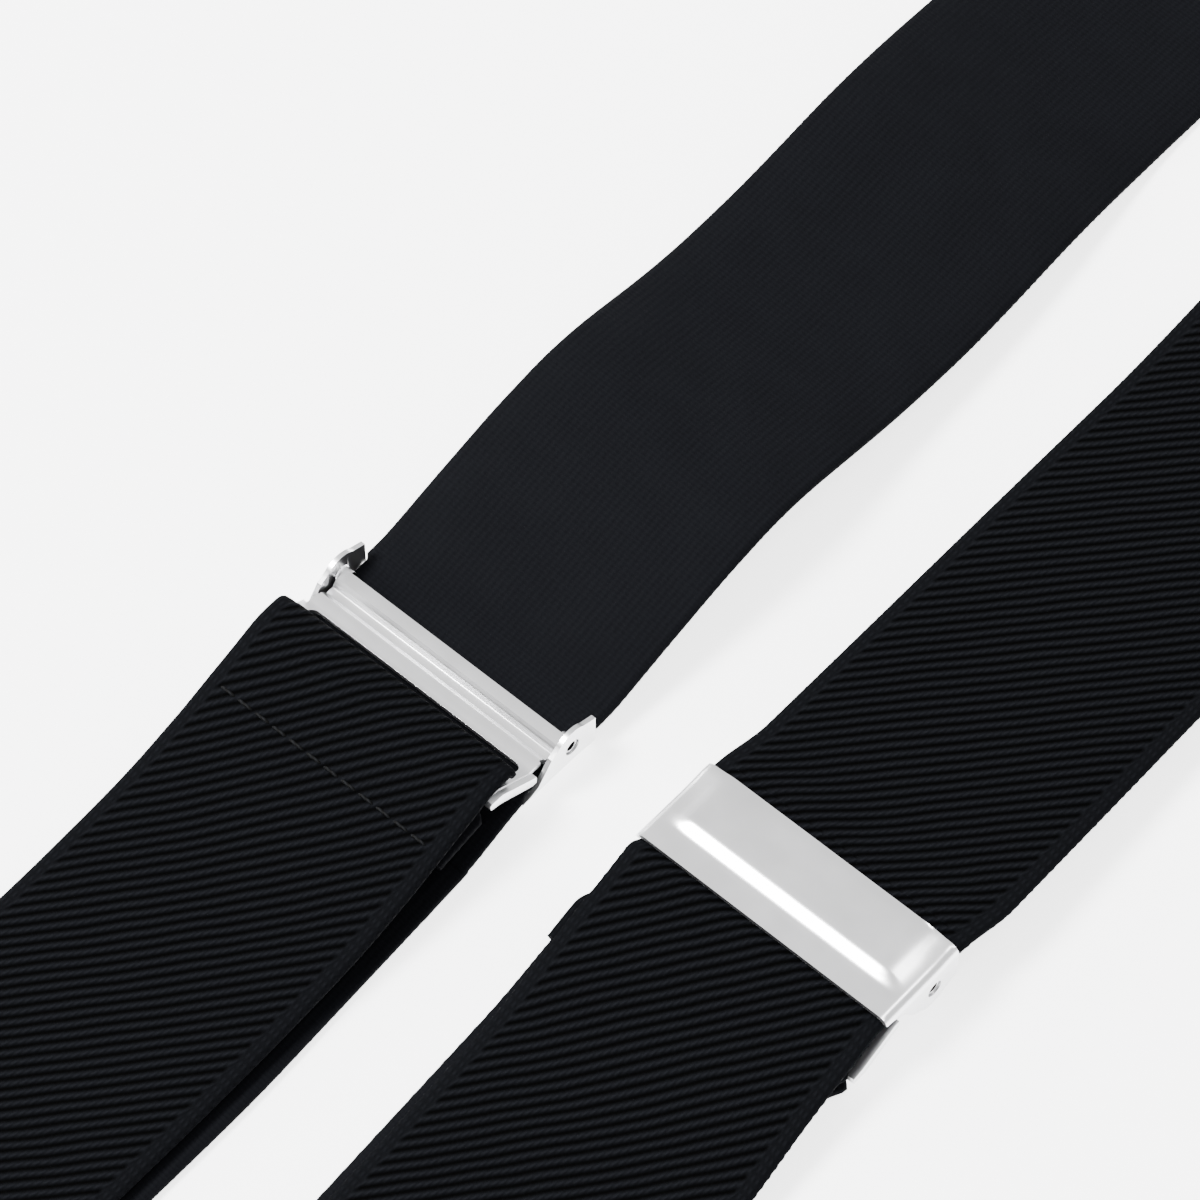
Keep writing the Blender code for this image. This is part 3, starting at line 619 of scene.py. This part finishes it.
def left_strap():
    """Face down: the main layer lies on the surface, and the return layer is on top."""
    y, z = LEFT.y, LEFT.z
    clip_y = y - CLIP_REACH
    main = z - CLAMP_LINE
    on_top = 2.5
    hump = flow([(y + 5.55, main), (y + 9, 3.3), (y + 19, 5.8), (y + 30, 8.1), (y + 41, 8.7), (y + 61, 5.8),
                 (y + 91, 5.0), (y + 115, 2.0), (y + 135, ON_SURFACE), (ROOT_END, ON_SURFACE)], SEEN_STEP)
    at = lay_webbing("left_webbing_above", stations(hump[::-1], LEFT, roll=left_roll), 1, FLAT_WIDTH,
                     ("straps", "left_slide", ROOT_END, y + 5.55), "left_sliding_run")
    clamped = flow([(y + 5.55, main), (y - 5.15, main)], SEEN_STEP)
    at = lay_webbing("left_webbing_clamped", stations(clamped, LEFT), 1, at, "left_slide",
                     "left_clamped_run")
    front = flow([(y - 5.15, main), (y - 10, main), (y - 18, 1.2), (y - 26, ON_SURFACE),
                  (clip_y + 60, ON_SURFACE), (clip_y + 36, 1.9), (clip_y + LOOP_END, 6.3)], SEEN_STEP)
    at = lay_webbing("left_webbing_below", stations(front, LEFT), 1, at,
                     ("left_slide", "left_loop", y - 5.15, clip_y + LOOP_END), "left_front_run")
    bar_z = FACE_DOWN_BAR_Z
    lower = flow([(clip_y + LOOP_END, 6.3), (clip_y + 6, 6.5), (clip_y, bar_z - LOOP_RADIUS)], HIDDEN_STEP)
    upper = flow([(clip_y, bar_z + LOOP_RADIUS), (clip_y + 6, 10.8), (clip_y + LOOP_END, 9.7)], HIDDEN_STEP)
    around = arc((clip_y, bar_z), LOOP_RADIUS, 256, 104, 16)
    at = lay_webbing("left_webbing_clip_loop", stations([*lower, *around, *upper], LEFT), 1, at,
                     "left_loop", "left_clip_loop")

    def shift(here):
        beside = LEFT_HEM_SHIFT + LEFT_RUN_SHIFT * (1 - ease(here, y - 60, y - 26))
        return beside * ease(here, clip_y + LOOP_END, clip_y + 60)

    back = flow([(clip_y + LOOP_END, 9.7), (clip_y + 36, 4.0), (clip_y + 60, on_top), (y - 60, on_top),
                 (y - 40, 3.7), (y + HEM_SPLIT, 6.175)], SEEN_STEP)
    resting, lifting = cut_line(back, y + LIFTING_END)
    at = lay_webbing("left_webbing_return", stations(resting, LEFT, shift=shift), 1, at,
                     ("left_slide", "left_loop", y + LIFTING_END, clip_y + LOOP_END),
                     "left_return_run")
    at = lay_webbing("left_webbing_lifting", stations(lifting, LEFT, shift=shift), 1, at,
                     ("left_slide_clamp", "left_slide", y + HEM_SPLIT, y + LIFTING_END),
                     "left_lifting_run")
    loose = [(-22, 7.2), (-17, 8.4), (-13.4, 9.3), (-10.7, 9.3), (-9.4, 9.0), (-8.9, 8.1),
             (-9.3, 7.0), (-10.7, 6.3), (-13, 5.9), (-17, 5.6), (-22, 5.2)]
    sewn = flow([(y + HEM_SPLIT, 6.175), *[(y + ahead, height) for ahead, height in loose]], step=0.4)
    places = []
    for centre, half in stations(sewn, LEFT, lambda here, slide_y: STRAP_HALF, shift):
        gathered = ease(centre.y, y - 15.0, y - 12.5) * (1 - ease(centre.z, 6.9, 8.0))
        places.append((centre, half * (1 - (1 - FOLD_HALF / STRAP_HALF) * gathered)))
    lay_webbing("left_webbing_hem", places, 1, at, "left_slide_clamp",
                "left_return_hem")


def plan(y, side):
    """The shoulder strap's centre line seen from above: (x, heading slope dx/dy)."""
    slope = -math.tan(CROSS_ANGLE)
    if y >= 0:
        return side * slope * y, side * slope
    if y <= BEND_START:
        return side * STRAP_X, 0.0
    span = -BEND_START
    t = (y - BEND_START) / span
    x = STRAP_X * (2 * t**3 - 3 * t**2 + 1) + slope * span * (t**3 - t**2)
    dx = STRAP_X * (6 * t**2 - 6 * t) / span + slope * (3 * t**2 - 2 * t)
    return side * x, side * dx


def strap_station(y, z, side, roll=0.0, half_width=STRAP_HALF):
    x, slope = plan(y, side)
    across = Vector((1, -slope, 0)).normalized()
    half = across * math.cos(roll) + Vector((0, 0, 1)) * math.sin(roll)
    return Vector((x, y, z)), half * half_width


def shoulder_strap(name, side, crossing_z, down, node):
    """From the slide's end of the strap, over the patch, to the sewn loop round the back clip's bar."""
    found = []
    clip_y = BACK_LENGTH * math.cos(CROSS_ANGLE)
    last = clip_y - 76 * math.cos(CROSS_ANGLE)
    count = 640
    for k in range(count):
        y = ROOT_END + (last - ROOT_END) * k / count
        twist = math.pi * (1 - ease(y, TWIST_START, TWIST_END)) if side < 0 else 0.0
        lifted = STRAP_HALF * abs(math.sin(twist)) + ON_SURFACE * abs(math.cos(twist))
        lowered = ease(abs(y), PATCH_FLAT, down)
        z = lifted if y < -down else crossing_z + (ON_SURFACE - crossing_z) * lowered
        found.append(strap_station(y, z, side, twist))
    bar_z = FACE_UP_BAR_Z
    near = flow([(76, ON_SURFACE), (60, 0.9), (44, 2.5), (26, 3.6), (12, 4.9), (0, bar_z + LOOP_RADIUS)],
                BACK_STEP)
    around = arc((0, bar_z), LOOP_RADIUS, 76, -76, 16)
    under = flow([(0, bar_z - LOOP_RADIUS), (12, ON_SURFACE), (38, ON_SURFACE)], BACK_STEP)
    cosine = math.cos(CROSS_ANGLE)
    for from_bar, z in [*map(tuple, near), *[(-p[0], p[1]) for p in around], *map(tuple, under)]:
        half = LOOP_HALF + (STRAP_HALF - LOOP_HALF) * ease(from_bar, 12, 40)
        found.append(strap_station(clip_y - from_bar * cosine, z, side, half_width=half))
    lay_webbing(name, found, 1, 0.0, "straps", node)


# ---------------------------------------------------------------- sewing


def stitch_row(name, path, normals, body, pitch=STITCH_PITCH):
    """A row of lockstitches along a path of points: each is a short round thread with its ends sunk."""
    bm = bmesh.new()
    lengths = [0.0]
    for a, b in zip(path, path[1:]):
        lengths.append(lengths[-1] + (b - a).length)
    count = max(1, round(lengths[-1] / pitch))

    def point_at(distance):
        for k, far in enumerate(lengths[1:]):
            if distance <= far or k == len(lengths) - 2:
                share = (distance - lengths[k]) / max(1e-9, far - lengths[k])
                share = min(1.0, max(0.0, share))
                return path[k].lerp(path[k + 1], share), normals[k].lerp(normals[k + 1], share).normalized()

    real = lengths[-1] / count
    sides, rings = 6, 6
    for s in range(count):
        begin, end = s * real + STITCH_GAP / 2, (s + 1) * real - STITCH_GAP / 2
        previous = None
        for k in range(rings + 1):
            t = k / rings
            centre, normal = point_at(begin + (end - begin) * t)
            beyond, _ = point_at(begin + (end - begin) * min(1.0, t + 0.1))
            before, _ = point_at(begin + (end - begin) * max(0.0, t - 0.1))
            travel = (beyond - before).normalized()
            side = travel.cross(normal).normalized()
            arch = 4 * t * (1 - t)
            radius = 0.1 + 0.1 * min(1.0, 2.2 * arch)
            middle_point = centre + normal * (0.22 * min(1.0, 1.6 * arch) - 0.12)
            ring = []
            for j in range(sides):
                angle = 2 * math.pi * j / sides
                ring.append(bm.verts.new(middle_point + side * radius * math.cos(angle)
                                         + normal * radius * math.sin(angle)))
            if previous:
                for j in range(sides):
                    bm.faces.new((previous[j], previous[(j + 1) % sides], ring[(j + 1) % sides], ring[j]))
            else:
                bm.faces.new(ring[::-1])
            previous = ring
        bm.faces.new(previous)
    bmesh.ops.recalc_face_normals(bm, faces=bm.faces)
    for face in bm.faces:
        face.smooth = True
    piece = made_piece(name, bm, FINISH["thread"])
    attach(piece, body)


def hem_stitches():
    """The lines of stitching that hold the sewn ends."""
    up = Vector((0, 0, 1))
    for name, slide, ahead, shift, height, normal, body in (
            ("left", LEFT, -22.0, LEFT_HEM_SHIFT, 7.2, Vector((0, -0.22, 0.97)), "left_slide_clamp"),
            ("right", RIGHT, -21.0, RIGHT_HEM_SHIFT, 2.6, up, "right_slide")):
        x = slide.x + lean(ahead) - shift
        path = [Vector((x + across, slide.y + ahead, height + PLY_HALF)) for across in SEAM_PLACES]
        stitch_row(f"{name}_hem_stitching", path, [normal] * len(path), body)
    clip_y = BACK_LENGTH * math.cos(CROSS_ANGLE)
    for name, side in (("right", 1), ("left", -1)):
        for row, (from_bar, height) in enumerate(((26, 3.6), (35, 3.05))):
            centre, half = strap_station(clip_y - from_bar * math.cos(CROSS_ANGLE), height + PLY_HALF, side)
            path = [centre + half * across / STRAP_HALF for across in SEAM_PLACES]
            stitch_row(f"{name}_back_stitching_{row + 1}", path, [up] * len(path), "straps")


# ---------------------------------------------------------------- back patch


def outline_reach(angle):
    """How far the patch's rounded diamond reaches, as a share of its half sizes."""
    c, s = math.cos(angle), math.sin(angle)
    return (abs(c) ** PATCH_CURVE + abs(s) ** PATCH_CURVE) ** (-1 / PATCH_CURVE)


def strap_rise(x, y):
    """How high the top leather's underside lies, over none, one or both straps."""
    slant_x, slant_y = x * math.cos(CROSS_ANGLE), y * math.sin(CROSS_ANGLE)
    over = (1 - ease(abs(slant_x + slant_y), TENT_START, TENT_END)) * OVER_RISE
    under = (1 - ease(abs(slant_x - slant_y), TENT_START, TENT_END)) * UNDER_RISE
    return LEATHER_GAP + max(over, under)


def leather(name, underside, node):
    """A rounded diamond of leather with a burnished round edge. underside gives its height at (x, y)."""
    bm = bmesh.new()
    around, levels = 144, [0.0, 0.14, 0.28, 0.42, 0.55, 0.67, 0.77, 0.85, 0.91, 0.95, 0.975, 0.99]
    edge = [(1.0, 0.28), (1.0, 0.72)]
    layers = [(share, 1.0) for share in levels] + [(s, h) for s, h in reversed(edge)]
    layers += [(share, 0.0) for share in reversed(levels)]
    rings = []
    for share, level in layers:
        if share == 0.0:
            height = underside(0, 0) + level * PATCH_THICK
            rings.append([bm.verts.new((0, 0, height))])
            continue
        ring = []
        for k in range(around):
            angle = 2 * math.pi * k / around
            reach = share * outline_reach(angle)
            x, y = math.cos(angle) * reach * PATCH_HALF_X, math.sin(angle) * reach * PATCH_HALF_Y
            soft = 0.12 if share >= 0.99 and level in (0.0, 1.0) else 0.0
            groove = 0.16 if level == 1.0 and 0.9 < share < 0.92 else 0.0
            height = underside(x, y) + level * PATCH_THICK + (soft if level == 0.0 else -soft) - groove
            ring.append(bm.verts.new((x, y, height)))
        rings.append(ring)
    for a, b in zip(rings, rings[1:]):
        for k in range(around):
            j = (k + 1) % around
            if len(a) == 1:
                bm.faces.new((a[0], b[k], b[j]))
            elif len(b) == 1:
                bm.faces.new((a[k], b[0], a[j]))
            else:
                bm.faces.new((a[k], b[k], b[j], a[j]))
    bmesh.ops.recalc_face_normals(bm, faces=bm.faces)
    for face in bm.faces:
        face.smooth = True
    piece = made_piece(name, bm, FINISH["leather"])
    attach(piece, "straps")
    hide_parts(node)


def back_patch():
    leather("leather_underside", lambda x, y: 0.0, "patch_underside")
    leather("leather_top", strap_rise, "patch_top")
    path, normals = [], []
    for k in range(145):
        angle = 2 * math.pi * k / 144
        reach = SEAM_SHARE * outline_reach(angle)
        x, y = math.cos(angle) * reach * PATCH_HALF_X, math.sin(angle) * reach * PATCH_HALF_Y
        path.append(Vector((x, y, strap_rise(x, y) + PATCH_THICK - 0.1)))
        slope_x = (strap_rise(x + 0.3, y) - strap_rise(x - 0.3, y)) / 0.6
        slope_y = (strap_rise(x, y + 0.3) - strap_rise(x, y - 0.3)) / 0.6
        normals.append(Vector((-slope_x, -slope_y, 1)).normalized())
    stitch_row("patch_stitching", path, normals, "straps", PATCH_STITCH_PITCH)


# ---------------------------------------------------------------- hard pieces, shaped as by hand


def select_only(piece):
    bpy.ops.object.select_all(action="DESELECT")
    piece.select_set(True)
    bpy.context.view_layer.objects.active = piece


def edit(piece):
    """Only this piece selected, in edit mode, with nothing in it selected."""
    select_only(piece)
    bpy.ops.object.mode_set(mode="EDIT")
    bpy.ops.mesh.select_all(action="DESELECT")


def pick(piece, kind, test):
    """Selects the faces, edges or vertices whose points all pass the test, in millimetres."""
    bpy.ops.mesh.select_mode(type=kind)
    bm = bmesh.from_edit_mesh(piece.data)
    items = {"FACE": bm.faces, "EDGE": bm.edges, "VERT": bm.verts}[kind]
    for item in items:
        points = [item] if kind == "VERT" else item.verts
        item.select_set(all(test(v.co / MM) for v in points))
    bm.select_flush_mode()
    bmesh.update_edit_mesh(piece.data)


def done(piece):
    bpy.ops.object.mode_set(mode="OBJECT")
    bpy.ops.object.select_all(action="DESELECT")
    return piece


def apply_modifier(piece, kind, **settings):
    modifier = piece.modifiers.new(kind.title(), kind)
    for name, value in settings.items():
        setattr(modifier, name, value)
    select_only(piece)
    bpy.ops.object.modifier_apply(modifier=modifier.name)


def drawn_prism(name, outline, low, high):
    """A (y, z) outline drawn point by point, filled, and pulled along X from low to high."""
    bpy.ops.object.select_all(action="DESELECT")
    bpy.ops.mesh.primitive_plane_add(size=MM, location=(0, 0, 0))
    piece = bpy.context.object
    piece.name = piece.data.name = name
    bpy.ops.object.mode_set(mode="EDIT")
    bpy.ops.mesh.select_mode(type="VERT")
    bpy.ops.mesh.select_all(action="SELECT")
    bpy.ops.mesh.merge(type="CENTER")
    start = Vector((low, *outline[0])) * MM
    bpy.ops.transform.translate(value=start)
    for a, b in zip(outline, outline[1:]):
        step = Vector((0, b[0] - a[0], b[1] - a[1])) * MM
        bpy.ops.mesh.extrude_vertices_move(TRANSFORM_OT_translate={"value": step})
    bpy.ops.mesh.select_all(action="SELECT")
    bpy.ops.mesh.edge_face_add()
    bpy.ops.mesh.extrude_region_move(TRANSFORM_OT_translate={"value": Vector(((high - low) * MM, 0, 0))})
    bpy.ops.mesh.select_all(action="SELECT")
    bpy.ops.mesh.normals_make_consistent(inside=False)
    return done(piece)


def drawn_ribbon(name, profile, half):
    """A sheet across X that follows a (y, z) profile, drawn edge by edge."""
    bpy.ops.object.select_all(action="DESELECT")
    bpy.ops.mesh.primitive_plane_add(size=2 * half * MM, location=(0, 0, 0))
    piece = bpy.context.object
    piece.name = piece.data.name = name
    edit(piece)
    pick(piece, "VERT", lambda v: v.y < 0)
    bpy.ops.mesh.delete(type="VERT")
    bpy.ops.mesh.select_mode(type="EDGE")
    bpy.ops.mesh.select_all(action="SELECT")
    start = Vector((0, profile[0][0] - half, profile[0][1])) * MM
    bpy.ops.transform.translate(value=start)
    for a, b in zip(profile, profile[1:]):
        step = Vector((0, b[0] - a[0], b[1] - a[1])) * MM
        bpy.ops.mesh.extrude_edges_move(TRANSFORM_OT_translate={"value": step})
    return done(piece)


def cut(piece, cutter, operation="DIFFERENCE"):
    """Cuts with, or joins, another piece, which is then removed."""
    apply_modifier(piece, "BOOLEAN", object=cutter, operation=operation, solver="EXACT")
    bpy.data.objects.remove(cutter)


def rod(name, radius, low, high, y, z, sides=32):
    """A round rod along X."""
    bpy.ops.object.select_all(action="DESELECT")
    bpy.ops.mesh.primitive_cylinder_add(
        vertices=sides, radius=radius * MM, depth=(high - low) * MM,
        location=((low + high) / 2 * MM, y * MM, z * MM), rotation=(0, math.pi / 2, 0)
    )
    piece = bpy.context.object
    piece.name = piece.data.name = name
    bpy.ops.object.transform_apply(location=True, rotation=True, scale=True)
    return piece


def soften(piece, width, angle=35.0, segments=3):
    """Rounds the sheared edges, as tumbling does, and shades the bends smooth."""
    apply_modifier(piece, "BEVEL", width=width * MM, segments=segments, limit_method="ANGLE",
                   angle_limit=math.radians(angle))
    bpy.ops.object.shade_smooth_by_angle(angle=math.radians(38))


def finish_piece(piece, finish, body, node):
    """Gives a piece its finish, from the slot of the same name, its body and the CAD node it stands for."""
    piece.data.materials.clear()
    piece.data.materials.append(FINISH[finish])
    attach(piece, body)
    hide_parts(node)


def place(piece, at, face_down):
    """Moves a piece made about its pivot to the slide, turned over for the left one."""
    turn = Matrix.Rotation(math.pi, 4, "Y") if face_down else Matrix.Identity(4)
    piece.data.transform(Matrix.Translation(at * MM) @ turn)
    piece.data.update()


def cover_line():
    """Where the cover's face is drawn from rear to front, with rows close together at its bend."""
    rows = [COVER_REAR, COVER_REAR - 0.5, 2.4, 1.0, -0.6, -2.0, -2.7]
    rows += [BEND_REAR + (BEND_FRONT - BEND_REAR) * k / 12 for k in range(13)]
    return [(y, COVER_TOP) for y in [*rows, -5.9, -6.8, -7.6, COVER_FRONT]]


def pressed_depth(x, y):
    """How deep the press sinks the face: an S bend down to the lip, and soft shoulders at both ends."""
    lip = 1 - ease(y, BEND_FRONT, BEND_REAR)
    shoulder = ease(abs(x), SHOULDER_INNER, SHOULDER_OUTER) * (1.0 - 0.5 * ease(y, 0, COVER_REAR))
    rim = 0.12 * ease(y, COVER_REAR - 0.9, COVER_REAR)
    return (COVER_TOP - LIP_TOP) * (1 - (1 - lip) * (1 - shoulder)) + rim


def slide_lever(side, at, body):
    """The cover: a pressed plate whose ends roll down into two walls, whose lobes hold the pivot."""
    half = COVER_HALF - COVER_FILLET
    cover = drawn_ribbon(f"{side}_slide_lever", cover_line(), half)
    edit(cover)
    bpy.ops.mesh.select_mode(type="EDGE")
    bm = bmesh.from_edit_mesh(cover.data)
    for edge in bm.edges:
        edge.select_set(abs(edge.verts[0].co.y - edge.verts[1].co.y) < 0.01 * MM)
    bmesh.update_edit_mesh(cover.data)
    bpy.ops.mesh.subdivide(number_cuts=COVER_COLUMNS)
    done(cover)
    for vert in cover.data.vertices:
        vert.co.z -= pressed_depth(vert.co.x / MM, vert.co.y / MM) * MM
    for end in (-1, 1):
        edit(cover)
        pick(cover, "EDGE", lambda v: abs(v.x - end * half) < 0.01)
        for k in range(FILLET_STEPS):
            a, b = math.pi / 2 * k / FILLET_STEPS, math.pi / 2 * (k + 1) / FILLET_STEPS
            out, up = end * (math.sin(b) - math.sin(a)), math.cos(b) - math.cos(a)
            move = Vector((COVER_FILLET * out, 0, COVER_FILLET * up)) * MM
            bpy.ops.mesh.extrude_edges_move(TRANSFORM_OT_translate={"value": move})
        bpy.ops.mesh.extrude_edges_move(TRANSFORM_OT_translate={"value": (0, 0, -WALL_DROP * MM)})
        done(cover)
    edit(cover)
    bpy.ops.mesh.select_all(action="SELECT")
    bpy.ops.mesh.normals_make_consistent(inside=False)
    done(cover)
    top = max(cover.data.polygons, key=lambda face: face.area * (face.center.z > 0.004))
    if top.normal.z < 0:
        cover.data.flip_normals()
    apply_modifier(cover, "SOLIDIFY", thickness=SHEET * MM, offset=-1.0, use_even_offset=True)
    lobe = [tuple(p) for p in arc((0, 0), 3.0, -135, -50, 14)]
    lower = [(COVER_FRONT, 2.5), (-7.0, 2.3), (-5.7, 1.7), (-4.6, 0.3), (-3.5, -1.2), *lobe,
             (COVER_REAR, -1.6)]
    outline = [(COVER_REAR, 8.0), (COVER_FRONT, 8.0), *lower]
    cut(cover, drawn_prism("outline", outline, -COVER_HALF - 3, COVER_HALF + 3), "INTERSECT")
    cut(cover, rod("hole", HOLE_RADIUS, -COVER_HALF - 2, COVER_HALF + 2, 0, 0))
    soften(cover, width=0.1)
    place(cover, at, side == "left")
    finish_piece(cover, "nickel", body, f"{side}_slide_cover")


def slide_frame(side, at, body):
    """The clamp frame: a channel bar, two cranked arms and the strap's loop bar, stamped from one sheet.

    Its line is drawn from the bar's rear edge, over the channel, to the loop bar's front edge.
    """
    channel = flow([(-1.3, -0.7), (-1.65, -0.35), (-1.95, 0.15), (-2.3, 0.3), (-3.2, 0.3), (-3.55, 0.15),
                    (-3.85, -0.35), (-4.2, -0.7)], step=0.12)
    crank = flow([(-6.0, -0.7), (-6.6, -0.85), (-11.3, -3.3), (-11.9, LOOP_BAR_Z)], step=0.5)
    profile = [(0.2, -0.7), *map(tuple, channel), (-5.6, -0.7), *map(tuple, crank), (-13.3, LOOP_BAR_Z)]
    made = drawn_ribbon(f"{side}_slide_frame", profile, FRAME_HALF)
    apply_modifier(made, "SOLIDIFY", thickness=SHEET * MM, offset=0.0, use_even_offset=True)
    bpy.ops.object.select_all(action="DESELECT")
    bpy.ops.mesh.primitive_cube_add(size=1.0, location=(0, WINDOW_MIDDLE * MM, -2 * MM))
    window = bpy.context.object
    window.scale = (WINDOW_WIDE * MM, WINDOW_LONG * MM, 8 * MM)
    bpy.ops.object.transform_apply(location=True, rotation=True, scale=True)
    apply_modifier(window, "BEVEL", width=WINDOW_ROUND * MM, segments=5, limit_method="NONE")
    cut(made, window)
    for end in (-1, 1):
        low, high = sorted((end * 17.05, end * PAST_ARMS))
        cut(made, drawn_prism("notch", [(3, -3), (3, 3), (-3.9, 3), (-4.6, -3)], low, high))
    for end in (-1, 1):
        low, high = sorted((end * STUB_INNER, end * STUB_OUTER))
        cut(made, rod("stub", STUB_RADIUS, low, high, 0, 0), "UNION")
        low, high = sorted((end * BORE_DEPTH, end * PAST_ARMS))
        cut(made, rod("stub_bore", BORE_RADIUS, low, high, 0, 0))
        low, high = sorted((end * ARM_INNER, end * ARM_OUTER))
        flange = [(-5.9, -0.55), (-6.5, -0.85), (-11.4, -3.45), (-13.2, -3.55), (-13.5, -3.2), (-13.4, -2.5),
                  (-11.9, -2.1), (-6.6, 0.5), (-5.9, 0.5)]
        cut(made, drawn_prism("flange", flange, low, high), "UNION")
    soften(made, width=0.12, angle=58.0)
    place(made, at, side == "left")
    finish_piece(made, "nickel", body, f"{side}_clamp_frame")
    # The faces inside the stub bores get the dark steel: painted shade in the holes.
    made.data.materials.append(FINISH["bore"])
    for face in made.data.polygons:
        from_pivot = face.center / MM - at
        if math.hypot(from_pivot.y, from_pivot.z) < BORE_RADIUS + 0.02 and abs(from_pivot.x) < 17.85:
            face.material_index = 1


def refined_copy(node, name, finish, body, round_edges):
    """A CAD node's shape with its sheared edges rounded."""
    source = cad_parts[node]
    bpy.ops.object.select_all(action="DESELECT")
    piece = source.copy()
    piece.data = source.data.copy()
    piece.name = piece.data.name = name
    piece.parent = None
    piece.hide_render = False
    bpy.context.scene.collection.objects.link(piece)
    piece.data.transform(source.matrix_world)
    piece.matrix_world = Matrix.Identity(4)
    for key in list(piece.keys()):
        del piece[key]
    edit(piece)
    bpy.ops.mesh.select_all(action="SELECT")
    bpy.ops.mesh.remove_doubles(threshold=0.00001)
    bpy.ops.mesh.dissolve_limited(angle_limit=math.radians(0.6))
    done(piece)
    soften(piece, round_edges, segments=2)
    finish_piece(piece, finish, body, node)


def trouser_clip(side):
    """Each piece is named for what it is, and the flap and its jaw ride on the lever's body."""
    for part, piece_name, finish, round_edges in CLIP_PIECES:
        body = f"{side}_clip_lever" if part in ("lever", "cam") else f"{side}_clip"
        refined_copy(f"{side}_clip_{part}", f"{side}_clip_{piece_name}", finish, body, round_edges)


def lay_floor():
    bpy.ops.object.select_all(action="DESELECT")
    bpy.ops.mesh.primitive_plane_add(size=8.0, location=(0, 0, -0.15 * MM))
    floor = bpy.context.object
    floor.name = "floor"
    floor.data.materials.append(studio_floor())


place_camera()
light_scene()
lay_floor()
FINISH = {"twill": twill_face(), "back": plain_back(), "nickel": nickel_plate(),
          "leather": grained_leather(), "nylon": moulded_nylon(), "thread": sewing_thread(),
          "bore": shaded_bore_steel()}
right_strap()
left_strap()
shoulder_strap("right_strap_webbing", 1, OVER_STRAP_Z, OVER_DOWN, "right_shoulder_strap")
shoulder_strap("left_strap_webbing", -1, UNDER_STRAP_Z, UNDER_DOWN, "left_shoulder_strap")
hem_stitches()
back_patch()
slide_lever("right", RIGHT, "right_slide_lever")
slide_frame("right", RIGHT, "right_slide")
slide_lever("left", LEFT, "left_slide")
slide_frame("left", LEFT, "left_slide_clamp")
for clip_side in ("right_front", "left_front", "right_back", "left_back"):
    trouser_clip(clip_side)
